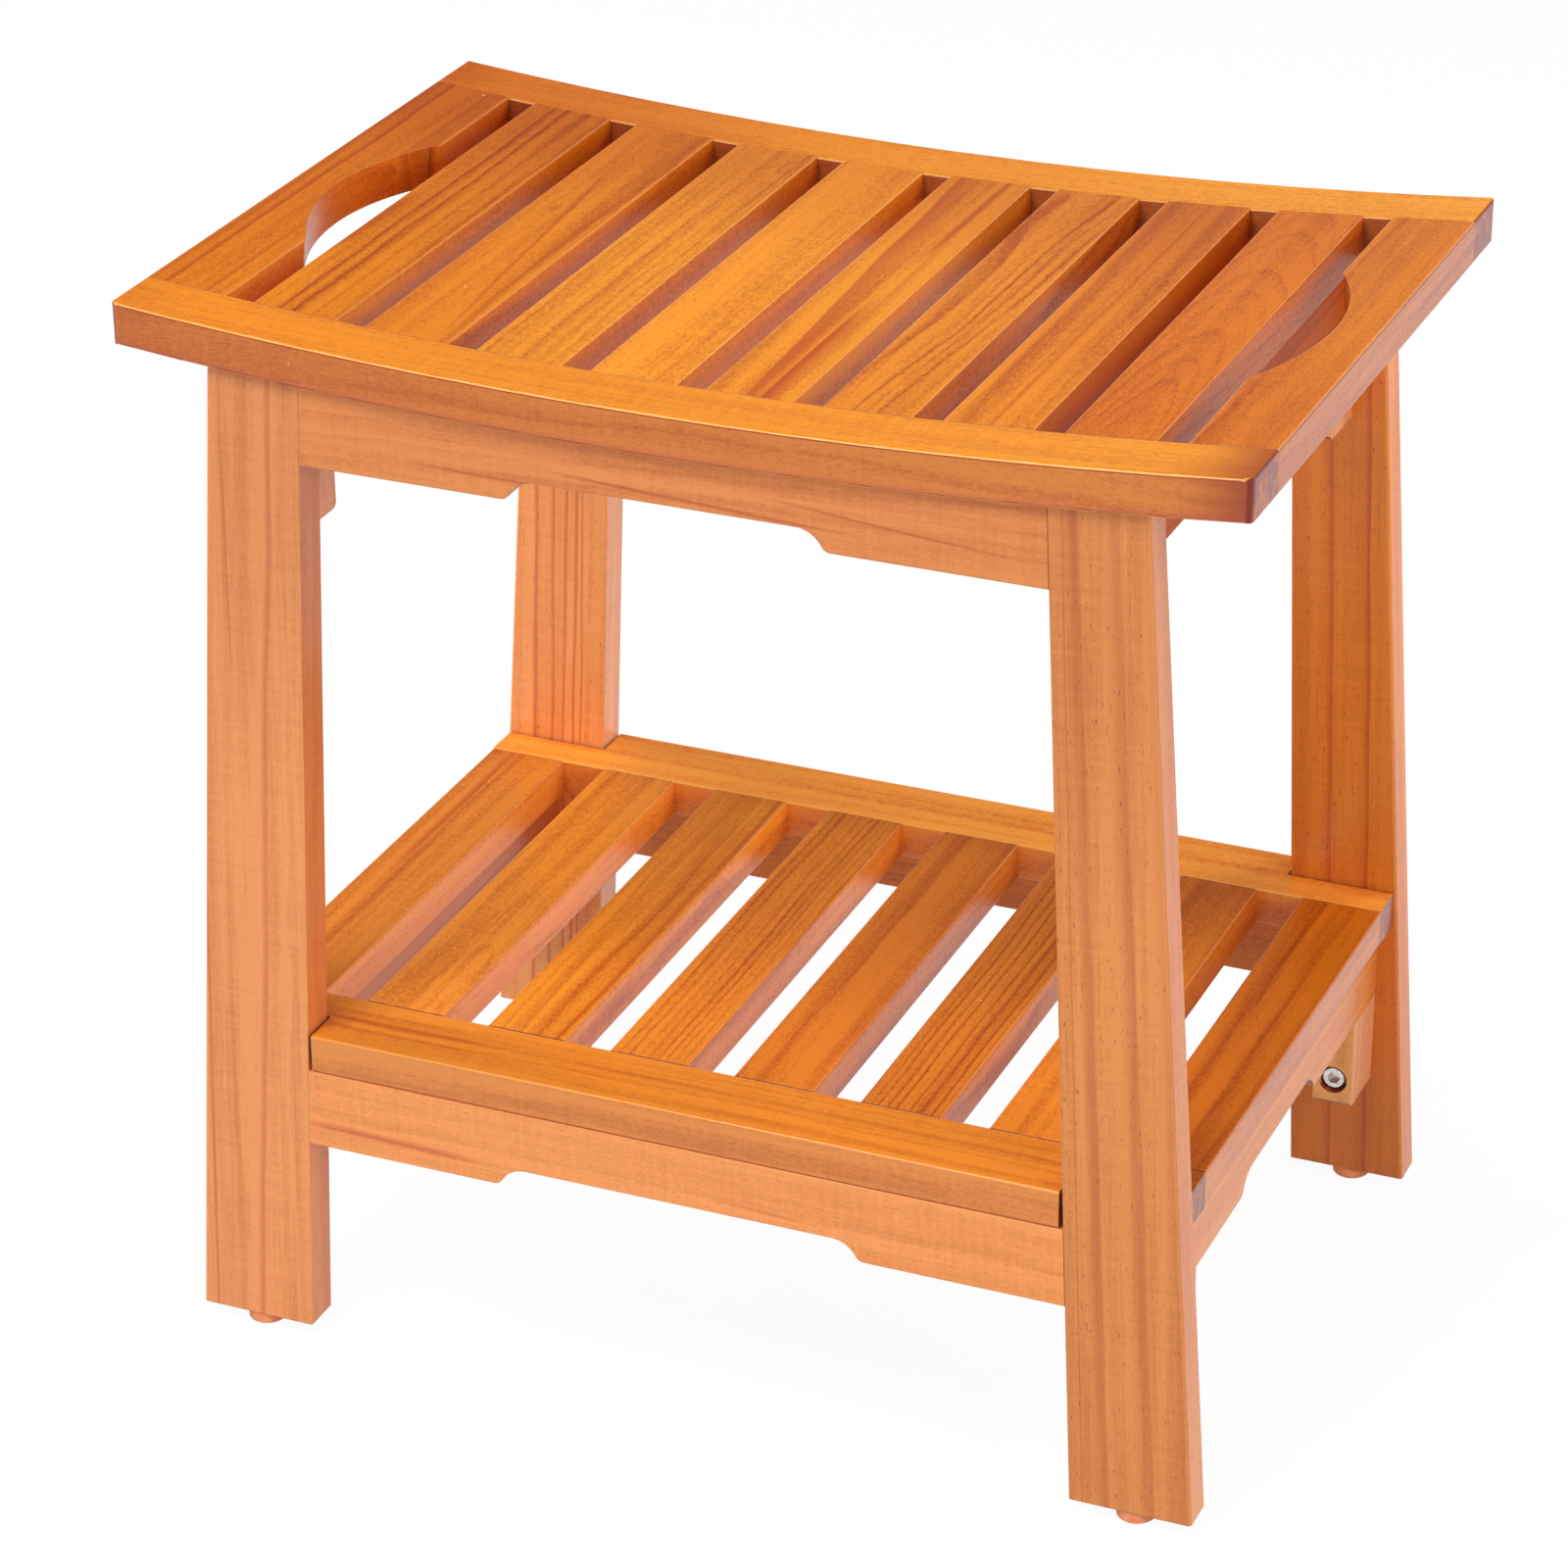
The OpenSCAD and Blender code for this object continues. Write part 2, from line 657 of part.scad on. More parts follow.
// Front and back aprons and stretchers
module front_apron() {
    color(leg_colour) difference() {
        cross_board(apron_low, leg_high, apron_arch_l);
        seat_room();
    }
}
module back_apron() { mirror([0, 1, 0]) front_apron(); }
module front_stretcher() {
    color(leg_colour) cross_board(stretcher_low, stretcher_high, stretcher_arch_l);
}
module back_stretcher() { mirror([0, 1, 0]) front_stretcher(); }

// Dowels, bolts, inserts and wood screws, each kind in one group
module frame_dowels() {
    color(dowel_colour) mirror_copy([1, 0, 0]) mirror_copy([0, 1, 0])
        at_frame_dowels() dowel(frame_dowel_d, frame_dowel_reach);
}
module block_dowels() {
    color(dowel_colour) mirror_copy([1, 0, 0]) mirror_copy([0, 1, 0]) {
        at_block_dowels(seat_side_x, seat_block_top) dowel(block_dowel_d, block_dowel_reach);
        at_block_dowels(shelf_side_x, shelf_block_top) dowel(block_dowel_d, block_dowel_reach);
    }
}
module leg_bolts() {
    color(steel_colour) mirror_copy([1, 0, 0]) mirror_copy([0, 1, 0]) at_bolts() bolt();
}
module leg_inserts() {
    color(brass_colour) mirror_copy([1, 0, 0]) mirror_copy([0, 1, 0])
        at_bolts() translate([0, 0, leg_back_y - bolt_seat_y]) difference() {
            cylinder(h = insert_l, d = insert_d);
            translate([0, 0, -cut]) cylinder(h = insert_l + 2 * cut, d = bolt_d + 2 * joint_gap);
        }
}
module seat_screws() {
    color(steel_colour) mirror_copy([1, 0, 0]) at_seat_screws() wood_screw();
}
module shelf_screws() {
    color(steel_colour) mirror_copy([1, 0, 0]) at_shelf_screws() wood_screw();
}

// Foot pads, each with a recess for its screw
module foot(x, y) {
    color(pad_colour) translate([x, y, 0]) rotate_extrude() difference() {
        translate([pad_screw_d / 2 + joint_gap, 0])
            square([pad_d / 2 - pad_screw_d / 2 - joint_gap, pad_h]);
        translate([0, -cut]) square([pad_recess_d / 2, pad_recess_h + cut]);
        translate([pad_d / 2, 0]) mirror([1, 0]) corner_cut(pad_edge_r);
    }
}
module foot_front_right() { foot(pad_x, -pad_y); }
module foot_front_left() { foot(-pad_x, -pad_y); }
module foot_back_right() { foot(pad_x, pad_y); }
module foot_back_left() { foot(-pad_x, pad_y); }
module foot_screws() {
    color(steel_colour) for (x = [-pad_x, pad_x], y = [-pad_y, pad_y])
        translate([x, y, pad_recess_h]) {
            translate([0, 0, -screw_head_h]) cylinder(h = screw_head_h, d = screw_head_d);
            cylinder(h = pad_screw_l - screw_head_h, d = pad_screw_d);
        }
}

seat_front_rail();
seat_back_rail();
seat_left_end();
seat_right_end();
seat_slat(1);  // seat_slat_1
seat_slat(2);  // seat_slat_2
seat_slat(3);  // seat_slat_3
seat_slat(4);  // seat_slat_4
seat_slat(5);  // seat_slat_5
seat_slat(6);  // seat_slat_6
seat_slat(7);  // seat_slat_7
seat_slat(8);  // seat_slat_8
seat_left_apron();
seat_right_apron();
seat_block_front_left();
seat_block_front_right();
seat_block_back_left();
seat_block_back_right();
leg_front_left();
leg_front_right();
leg_back_left();
leg_back_right();
front_apron();
back_apron();
front_stretcher();
back_stretcher();
shelf_front_rail();
shelf_back_rail();
shelf_left_end();
shelf_right_end();
shelf_slat(1);  // shelf_slat_1
shelf_slat(2);  // shelf_slat_2
shelf_slat(3);  // shelf_slat_3
shelf_slat(4);  // shelf_slat_4
shelf_slat(5);  // shelf_slat_5
shelf_slat(6);  // shelf_slat_6
shelf_left_apron();
shelf_right_apron();
shelf_block_front_left();
shelf_block_front_right();
shelf_block_back_left();
shelf_block_back_right();
frame_dowels();
block_dowels();
leg_bolts();
leg_inserts();
seat_screws();
shelf_screws();
foot_front_left();
foot_front_right();
foot_back_left();
foot_back_right();
foot_screws();
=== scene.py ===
"""Wooden shower bench: the finish of every surface, the studio and the camera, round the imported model."""

import math

import bmesh
import bpy
from mathutils import Matrix, Vector


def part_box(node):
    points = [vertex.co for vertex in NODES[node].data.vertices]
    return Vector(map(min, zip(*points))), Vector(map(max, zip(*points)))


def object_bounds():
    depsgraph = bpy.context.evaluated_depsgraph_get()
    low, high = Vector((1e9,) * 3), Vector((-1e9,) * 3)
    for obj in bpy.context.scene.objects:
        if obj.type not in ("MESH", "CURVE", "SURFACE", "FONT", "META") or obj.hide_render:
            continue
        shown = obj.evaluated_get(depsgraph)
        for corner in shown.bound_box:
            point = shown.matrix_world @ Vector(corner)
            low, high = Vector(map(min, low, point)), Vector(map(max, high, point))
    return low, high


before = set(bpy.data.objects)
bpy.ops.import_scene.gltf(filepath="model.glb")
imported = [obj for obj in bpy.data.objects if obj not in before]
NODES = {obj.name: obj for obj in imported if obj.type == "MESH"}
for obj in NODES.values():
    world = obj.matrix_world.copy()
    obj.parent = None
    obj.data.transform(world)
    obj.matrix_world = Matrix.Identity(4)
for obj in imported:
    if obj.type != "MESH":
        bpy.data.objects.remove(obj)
CAD_LOW, CAD_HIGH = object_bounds()

# Lengths below are in millimetres, times MM where Blender needs metres
MM = 0.001
X = Vector((1, 0, 0))
Y = Vector((0, 1, 0))
Z = Vector((0, 0, 1))

# Camera: it stands where the photograph was taken from, fitted to about a hundred edges of the bench.
# The focal length and the centre of the view are in pixels of the photograph, and the roll is in radians.
CAMERA_PLACE = (703.3, -1691.0, 1129.9)
CAMERA_AIM = (46.7, -102.9, 205.5)
CAMERA_ROLL = -0.0020
IMAGE_SIDE = 1600
FOCAL_PIXELS = 5144
FRAME_CENTRE = (848, 960)
SENSOR_WIDTH = 36
FARTHEST_SEEN = 30000

# Studio: soft square lamps, as (name, direction that it shines from, distance, side, watts)
LAMPS = (
    ("key_lamp", (-0.20, -0.50, 0.84), 2300, 900, 33),
    ("left_lamp", (-1.00, 0.05, 0.62), 2400, 1000, 22),
    ("right_lamp", (0.85, -0.36, 0.40), 2400, 1300, 20),
    ("rear_lamp", (0.70, 0.66, 0.70), 2400, 900, 14),
    ("front_lamp", (0.05, -1.00, 0.22), 2400, 1300, 6.5),
)
# World: its light at the horizon and overhead, and the heights on a unit sphere between which it fades
HORIZON_LIGHT = 1.0
CEILING_LIGHT = 0.10
HORIZON_TOP = 0.06
CEILING_START = 0.30
# Floor: its radius, its sides and how far it lies below the feet
FLOOR_RADIUS = 7000
FLOOR_SIDES = 96
FLOOR_DROP = 0.2
# How white the floor is below its glow, how white it is to the light that it sends back to the bench, and
# the share and the strength of its glow, which only the camera and reflections see
FLOOR_WHITE = 0.92
FLOOR_BOUNCE = 0.58
FLOOR_SHOWN = 0.92
FLOOR_GLOW = 1.03


def linear(red, green, blue):
    """A colour that is written as it looks on a screen, from 0 to 255, as Blender's linear values."""
    parts = []
    for part in (red, green, blue):
        part = part / 255
        parts.append(part / 12.92 if part <= 0.04045 else ((part + 0.055) / 1.055) ** 2.4)
    return (*parts, 1)


class Graph:
    """Adds nodes to a node tree and joins them. A plain value is set on the socket itself."""

    def __init__(self, tree):
        self.tree = tree

    def add(self, kind, inputs=(), **settings):
        node = self.tree.nodes.new(kind)
        for name, value in settings.items():
            setattr(node, name, value)
        for key, value in dict(inputs).items():
            self.feed(node.inputs[key], value)
        return node

    def feed(self, socket, value):
        if isinstance(value, bpy.types.NodeSocket):
            self.tree.links.new(value, socket)
        else:
            socket.default_value = value

    def math(self, operation, *values):
        return self.add("ShaderNodeMath", enumerate(values), operation=operation).outputs[0]

    def vector(self, operation, *values):
        node = self.add("ShaderNodeVectorMath", enumerate(values), operation=operation)
        scalar = operation in ("DOT_PRODUCT", "LENGTH", "DISTANCE")
        return node.outputs["Value" if scalar else "Vector"]

    def split(self, vector):
        return self.add("ShaderNodeSeparateXYZ", {0: vector}).outputs

    def join(self, x, y, z):
        return self.add("ShaderNodeCombineXYZ", {0: x, 1: y, 2: z}).outputs[0]

    def noise(self, where, seed, per_metre, detail=2.0, roughness=0.5, colour=False):
        """Noise with the given number of cells in a metre along each axis."""
        scaled = self.vector("MULTIPLY", where, per_metre)
        inputs = {"Vector": scaled, "W": seed, "Scale": 1.0, "Detail": detail, "Roughness": roughness}
        node = self.add("ShaderNodeTexNoise", inputs, noise_dimensions="4D")
        return node.outputs[1 if colour else 0]

    def smooth(self, value, start, end, low=0.0, high=1.0):
        """A smooth step from low to high as value goes from start to end."""
        inputs = {0: value, 1: start, 2: end, 3: low, 4: high}
        return self.add("ShaderNodeMapRange", inputs, interpolation_type="SMOOTHSTEP").outputs[0]

    def straight(self, value, start, end):
        """A straight step from 0 to 1 as value goes from start to end."""
        return self.add("ShaderNodeMapRange", {0: value, 1: start, 2: end, 3: 0.0, 4: 1.0}).outputs[0]

    def ramp(self, value, stops, interpolation="B_SPLINE"):
        """A grey ramp through (place, level) stops."""
        node = self.add("ShaderNodeValToRGB", {0: value})
        band = node.color_ramp
        band.interpolation = interpolation
        while len(band.elements) < len(stops):
            band.elements.new(0.5)
        for element, (place, level) in zip(band.elements, stops):
            element.position = place
            element.color = (level, level, level, 1)
        return node.outputs[0]

    def mix_vector(self, share, first, second):
        inputs = {0: share, 4: first, 5: second}
        return self.add("ShaderNodeMix", inputs, data_type="VECTOR").outputs[1]

    def mix(self, share, first, second, blend="MIX"):
        inputs = {0: share, 6: first, 7: second}
        return self.add("ShaderNodeMix", inputs, data_type="RGBA", blend_type=blend).outputs[2]


def new_material(name):
    """An empty material with one glossy surface in it, and the graph to add to."""
    material = bpy.data.materials.new(name)
    material.use_nodes = True
    material.node_tree.nodes.clear()
    graph = Graph(material.node_tree)
    surface = graph.add("ShaderNodeBsdfPrincipled")
    output = graph.add("ShaderNodeOutputMaterial")
    graph.feed(output.inputs["Surface"], surface.outputs[0])
    return material, graph, surface


# Growth ring, as (place in the ring, darkness): it darkens slowly and ends at a crisp line
RING_SHAPE = ((0.0, 0.45), (0.10, 0.08), (0.45, 0.05), (0.74, 0.35), (0.90, 1.0), (1.0, 0.45))
# How far the rings' lines ripple and how much their widths differ, in rings
RING_RIPPLE = 0.9
RING_UNEVEN = 2.2
# Strength of the faintest ring, and the noise values between which rings go from faint to strong
FAINTEST_RING = 0.25
RING_STRENGTH_SPAN = (0.30, 0.65)
# Cells of noise a metre, along a board, across it and through it, for the rings' wander and their ripple
WANDER_CELLS = (7, 0, 0)
RIPPLE_CELLS = (14, 60, 60)
# Cells of noise a ring, for the rings' width and for their strength
WIDTH_CELLS = (0.33, 0, 0)
STRENGTH_CELLS = (0.71, 0, 0)
# Other marks of the grain, as (step of the seed, cells of noise a metre, detail, roughness, and the noise
# values between which the mark goes from none to whole, if it has such limits)
MARKS = {
    "Streak": (3.1, (4, 150, 150), 3, 0.6, None),
    "Fibre": (5.7, (26, 1300, 1300), 2, 0.5, None),
    "Speckle": (8.3, (480, 1150, 1150), 1, 0.5, None),
    "Pore": (11.9, (300, 1800, 1800), 1, 0.5, (0.66, 0.76)),
    "Shimmer": (15.2, (520, 22, 22), 2, 0.5, None),
    "Dust": (18.6, (430, 430, 430), 0, 0.5, (0.885, 0.91)),
}


def figure_group():
    """Marks of the grain, from a point in a board's own axes: along, across and through, in metres."""
    tree = bpy.data.node_groups.new("wood_figure", "ShaderNodeTree")
    for name in ("Point", "Pith", "Tilt"):
        tree.interface.new_socket(name=name, in_out="INPUT", socket_type="NodeSocketVector")
    for name in ("Ring width", "Wave", "Seed"):
        tree.interface.new_socket(name=name, in_out="INPUT", socket_type="NodeSocketFloat")
    for name in ("Ring", *MARKS):
        tree.interface.new_socket(name=name, in_out="OUTPUT", socket_type="NodeSocketFloat")
    g = Graph(tree)
    given = g.add("NodeGroupInput").outputs
    point, seed = given["Point"], given["Seed"]

    # The heart of the log lies beside the board, tilts against it and wanders along it
    along = g.split(point)[0]
    wander = g.noise(point, seed, WANDER_CELLS, detail=1.5, colour=True)
    wander = g.vector("SUBTRACT", wander, (0.5, 0.5, 0.5))
    wander = g.vector("MULTIPLY", wander, g.join(0.0, given["Wave"], given["Wave"]))
    lean = g.vector("MULTIPLY", given["Tilt"], g.join(0.0, along, along))
    heart = g.vector("ADD", wander, lean)
    offset = g.vector("SUBTRACT", g.vector("SUBTRACT", point, given["Pith"]), heart)
    radius = g.vector("LENGTH", g.vector("MULTIPLY", offset, (0, 1, 1)))
    phase = g.math("DIVIDE", radius, given["Ring width"])
    ripple = g.math("SUBTRACT", g.noise(point, seed, RIPPLE_CELLS, detail=2), 0.5)
    phase = g.math("MULTIPLY_ADD", ripple, RING_RIPPLE, phase)
    uneven = g.noise(g.join(phase, 0.0, 0.0), seed, WIDTH_CELLS, detail=0)
    phase = g.math("MULTIPLY_ADD", uneven, RING_UNEVEN, phase)
    ring = g.ramp(g.math("FRACT", phase), RING_SHAPE)
    number = g.math("FLOOR", phase)
    strength = g.noise(g.join(number, 0.0, 0.0), seed, STRENGTH_CELLS, detail=0)
    strength = g.smooth(strength, *RING_STRENGTH_SPAN, FAINTEST_RING, 1.0)

    shown = g.add("NodeGroupOutput").inputs
    g.feed(shown["Ring"], g.math("MULTIPLY", ring, strength))
    for name, (step, cells, detail, roughness, span) in MARKS.items():
        mark = g.noise(point, g.math("ADD", seed, step), cells, detail, roughness)
        if span:
            mark = g.smooth(mark, *span)
        g.feed(shown[name], mark)
    return tree


FIGURE = figure_group()

# Colour of the lacquered wood in pale grain, in dark grain and in long marks
PALE_WOOD = (243, 150, 55)
DARK_WOOD = (184, 80, 15)
BAND_WOOD = (190, 76, 26)
# The same at the ends of boards, in the pale spots of these ends and on their rims
END_WOOD = (150, 74, 64)
SPOT_WOOD = (204, 104, 36)
RIM_WOOD = (118, 34, 12)
# The same in pores, on worn edges with a painted highlight, at darkened ends (soaked stain and painted
# shade), and in a painted floor reflection low on the faces of the seat's rails
PORE_WOOD = (112, 46, 18)
EDGE_WEAR_AND_HIGHLIGHT = (255, 186, 104)
END_STAIN_AND_SHADE = (166, 62, 12)
FOOT_REFLECTION = (188, 88, 74)
# Dust in the lacquer
DUST = (255, 214, 150)
# Filters over the wood's colour that paint light and shade: painted shade and painted sheen on the sides of
# boards, painted shade on faces that look into the bench, and other ones for the sides of the seat's rails,
# of the legs and of the shelf's slats
SIDE_SHADING_FILTER = (0.84, 0.71, 1.0, 1)
INNER_SHADE_FILTER = (0.34, 0.19, 0.32, 1)
RAIL_SIDE_SHADING = (0.69, 0.63, 2.6, 1)
LEG_SIDE_SHADING = (1.18, 1.08, 0.95, 1)
SHELF_SIDE_SHADING = (1.20, 1.22, 1.35, 1)
# How dark the palest grain is, and what fibres and shimmer add to it
GROUND_DARK = 0.10
FIBRE_DARK = 0.50
SHIMMER_DARK = 0.35
# Share of a knot's colour in the wood, and how much darker it is than a long mark
KNOT_SHARE = 0.45
KNOT_DARKER = 0.05
# Noise values between which streaks go from pale to dark
STREAK_SPAN = (0.34, 0.66)
# Knots: how far one bends the grain and where its core ends, in its own size, how far it pushes the grain
# aside, and its shape along, across and through the board
KNOT_REACH = 3.5
KNOT_CORE = 0.35
KNOT_PUSH = 0.75
KNOT_SHAPE = (0.5, 1, 0)
# Bands: cells a metre and width of their sway, and the share of a short band that fades at each end
SWAY_CELLS = (9, 0, 0)
SWAY_WIDTH = 4
BAND_FADE = 0.3
# Part of a board's half length over which its painted light and shade changes
SHADE_REACH = 0.8
# Where the darkening at a board's ends, partly soaked stain and partly painted shade, starts and where it
# would be whole, from the end outward, and how uneven that is
END_DARK_START = -26
END_DARK_WHOLE = 12
END_DARK_UNEVEN = 14
# Cells a metre of the pale spots in the ends of boards, and the noise values between which one shows
SPOT_CELLS = (60, 210, 150)
SPOT_SPAN = (0.50, 0.62)
# Shares of the rings, of pale spots and of the rim in the colour of the ends, and of dust in all faces
END_RINGS = 0.5
END_SPOTS = 0.75
END_RIM = 0.9
DUST_SHARE = 0.6
# Height of a painted floor reflection, a violet band low on the rails' faces, and its share in the colour
FOOT_REFLECTION_HEIGHT = 4
FOOT_REFLECTION_SHARE = 0.55
# Share of the worn colour, with its painted highlight, in the mesh's own edges, and how much darker the
# painted dark reflection below a worn edge is
CORNER_WEAR_AND_HIGHLIGHT = 0.75
DARK_REFLECTION_DARKER = 0.10

# Limits for the cosine between a face's normal and the way through the board, which is 1 on broad faces:
# a side goes, a worn edge with its painted highlight comes and goes, and the painted dark reflection below
# it comes and goes
SIDE_GOES = (0.20, 0.60)
WORN_AND_LIT_COMES = (0.48, 0.62)
WORN_AND_LIT_GOES = (0.89, 0.98)
DARK_REFLECTION_COMES = (0.03, 0.14)
DARK_REFLECTION_GOES = (0.40, 0.56)
# The same for the way along the board, which is 1 on its ends: worn edges, their painted highlight and the
# painted dark reflection stop, the dark rim comes and goes, and the end's own colour comes
EDGE_MARKS_STOP = (0.2, 0.5)
RIM_COMES = (0.30, 0.62)
RIM_GOES = (0.84, 0.95)
END_COMES = (0.80, 0.97)
# The same for the way into the bench, where painted shade comes, and for the softened normal, which differs
# from the mesh's at edges
INWARD_COMES = (0.5, 0.9)
CORNER_GOES = (0.80, 0.97)

# Lacquer: its roughness, and what fibres, pores, worn edges and sides with little sheen add to that
LACQUER_ROUGH = 0.34
FIBRE_ROUGH = 0.16
PORE_ROUGH = 0.15
EDGE_ROUGH = -0.10
SIDE_ROUGH = 0.12
# Its specular level, its coat's roughness and the coat that a worn edge adds
LACQUER_LEVEL = 0.26
COAT_ROUGH = 0.22
EDGE_COAT = 0.40
# Relief of the grain: its strength, its height, and how far marks rise above the fibres or lie below them
GRAIN_RAISED = 0.22
GRAIN_HEIGHT = 0.25
RELIEF = (("Ring", -0.25), ("Pore", -0.8), ("Speckle", 0.35), ("Dust", 0.8))
# Width over which the edges of boards are softened
SOFT_EDGE = 0.8
# Seat: radius of its curve, height of its top at the middle, thickness of its boards, and how far the
# computed normals round the outer and the inner edges of its rails
SEAT_ARC = 2306
SEAT_TOP = 436
SEAT_THICK = 17
SEAT_EDGE = 1.35
SEAT_JOINT = 0.5
# Where the mesh's own normals begin to take over and where they are whole, from a seat rail's end
RAIL_END_BEGINS = 4
RAIL_END_WHOLE = 3


def toned(colour, tone, warmth=0.0, depth=0.0):
    """A colour made lighter by tone, redder by warmth and more saturated by depth, all near 0."""
    red, green, blue = (part * (1 + tone) for part in colour)
    return linear(min(255, red), min(255, green * (1 - warmth)), min(255, blue * (1 - depth)))


def band(place, fade, crisp=0.6, strength=0.5, slope=0.0, sway=1.0, reach=None):
    """A long mark along the grain at a place across the board.

    It fades to one side over a width, to the left if fade is positive, and ends crisply on the other.
    It runs the board's length, or from one place along it to another."""
    course = {"place": place, "slope": slope, "sway": sway, "reach": reach}
    return {"fade": fade, "crisp": crisp, "strength": strength, **course}


def band_mask(g, u, v, seed, mark):
    """Where a long mark shows, and how strongly."""
    drift = g.math("SUBTRACT", g.noise(g.join(u, 0.0, 0.0), seed, SWAY_CELLS, detail=1), 0.5)
    centre = g.math("MULTIPLY_ADD", u, mark["slope"], mark["place"] * MM)
    centre = g.math("MULTIPLY_ADD", drift, SWAY_WIDTH * mark["sway"] * MM, centre)
    gap = g.math("SUBTRACT", v, centre)
    if mark["fade"] < 0:
        gap = g.math("MULTIPLY", gap, -1.0)
    rise = g.smooth(gap, -abs(mark["fade"]) * MM, 0.0)
    fall = g.smooth(gap, 0.0, mark["crisp"] * MM, 1.0, 0.0)
    mask = g.math("MULTIPLY", rise, fall)
    if mark["reach"]:
        start, end = (place * MM for place in mark["reach"])
        soft = BAND_FADE * (end - start)
        mask = g.math("MULTIPLY", mask, g.smooth(u, start, start + soft))
        mask = g.math("MULTIPLY", mask, g.smooth(u, end - soft, end, 1.0, 0.0))
    return g.math("MULTIPLY", mask, mark["strength"])


def arc_normal(g, here, middle, half):
    """Normal of a seat rail, and the height above the middle of its thickness.

    They come from the place on the rail, because the mesh's normals are uneven round its long edges."""
    x, y, z = g.split(here)
    spoke = g.join(x, 0.0, g.math("SUBTRACT", z, (SEAT_ARC + SEAT_TOP) * MM))
    upward = g.vector("MULTIPLY", g.vector("NORMALIZE", spoke), (-1, -1, -1))
    high = g.math("SUBTRACT", (SEAT_ARC + SEAT_THICK / 2) * MM, g.vector("LENGTH", spoke))
    outward = 1 if middle > 0 else -1
    wide = g.math("MULTIPLY", g.math("SUBTRACT", y, middle), outward)
    flat = (SEAT_THICK / 2 - SEAT_EDGE) * MM
    spans = ((wide, half - SEAT_JOINT * MM, half - SEAT_EDGE * MM), (high, flat, flat))
    parts = []
    for value, below, above in spans:
        kept = g.math("MINIMUM", g.math("MAXIMUM", value, -below), above)
        parts.append(g.math("SUBTRACT", value, kept))
    sideways = g.join(0.0, g.math("MULTIPLY", parts[0], outward), 0.0)
    normal = g.vector("MULTIPLY_ADD", upward, g.join(parts[1], parts[1], parts[1]), sideways)
    return g.vector("NORMALIZE", normal), high


def flow_round_knots(g, point, knots):
    """Bends the grain round knots, each (place along, place across, size), and masks each of them."""
    masks = []
    for place_u, place_v, size in knots:
        gap = g.vector("SUBTRACT", point, (place_u * MM, place_v * MM, 0))
        gap = g.vector("MULTIPLY", gap, KNOT_SHAPE)
        distance = g.vector("LENGTH", gap)
        push = g.smooth(distance, 0.0, KNOT_REACH * size * MM, KNOT_PUSH, 0.0)
        shift = g.vector("MULTIPLY", gap, g.join(0.0, push, 0.0))
        point = g.vector("SUBTRACT", point, shift)
        masks.append(g.smooth(distance, KNOT_CORE * size * MM, size * MM, 1.0, 0.0))
    return point, masks


def read_figure(g, point, pith, tilt, ring, wave, seed):
    """The marks of the grain at a point, from the group that all boards share."""
    figure = g.add("ShaderNodeGroup", node_tree=FIGURE)
    given = {"Point": point, "Pith": (0, pith[0] * MM, pith[1] * MM), "Tilt": (0, tilt[0], tilt[1]),
             "Ring width": ring * MM, "Wave": wave * MM, "Seed": seed}
    for name, value in given.items():
        g.feed(figure.inputs[name], value)
    return figure.outputs


def grain_darkness(g, marks, contrast, streaks, grit):
    """Rings, soft streaks, fine fibres, speckle and a faint shimmer across the grain."""
    dark = g.math("MULTIPLY_ADD", marks["Ring"], contrast, GROUND_DARK)
    soft = g.smooth(marks["Streak"], *STREAK_SPAN, -0.5, 0.5)
    dark = g.math("MULTIPLY_ADD", soft, streaks, dark)
    for name, share in (("Fibre", FIBRE_DARK), ("Speckle", grit), ("Shimmer", SHIMMER_DARK)):
        dark = g.math("MULTIPLY_ADD", g.math("SUBTRACT", marks[name], 0.5), share, dark)
    return dark


def shade_and_stain(g, colour, streak, u, half, tone, shade, fall, ends):
    """Paints light and shade along the board by its shade levels, and darkens its ends: partly soaked
    stain, partly painted shade.
    """
    place = g.straight(u, -SHADE_REACH * half, SHADE_REACH * half)
    stops = [(stop, level / 2) for stop, level in zip((0.0, 0.5, 1.0), shade)]
    level = g.math("MULTIPLY", g.ramp(place, stops, "EASE"), 2.0)
    colour = g.vector("MULTIPLY", colour, g.join(*(g.math("POWER", level, power) for power in fall)))
    for sign, strength in zip((-1, 1), ends):
        if strength:
            place = g.math("MULTIPLY_ADD", streak, END_DARK_UNEVEN * MM, g.math("MULTIPLY", u, sign))
            soaked_and_shaded = g.smooth(place, half + END_DARK_START * MM, half + END_DARK_WHOLE * MM, 0.0, strength)
            colour = g.mix(soaked_and_shaded, colour, toned(END_STAIN_AND_SHADE, tone))
    return colour


def darken_ends(g, colour, marks, point, facing, tone, seed):
    """The ends of a board drink more stain, most of all round their rims."""
    spots = g.smooth(g.noise(point, seed, SPOT_CELLS, detail=1), *SPOT_SPAN, 0.0, END_SPOTS)
    cut = g.mix(spots, toned(END_WOOD, tone), toned(SPOT_WOOD, tone))
    cut = g.mix(g.math("MULTIPLY", marks["Ring"], END_RINGS), cut, toned(PORE_WOOD, tone))
    colour = g.mix(g.smooth(facing, *END_COMES), colour, cut)
    rim = g.smooth(facing, *RIM_GOES, END_RIM, 0.0)
    rim = g.math("MULTIPLY", g.smooth(facing, *RIM_COMES), rim)
    return g.mix(rim, colour, linear(*RIM_WOOD))


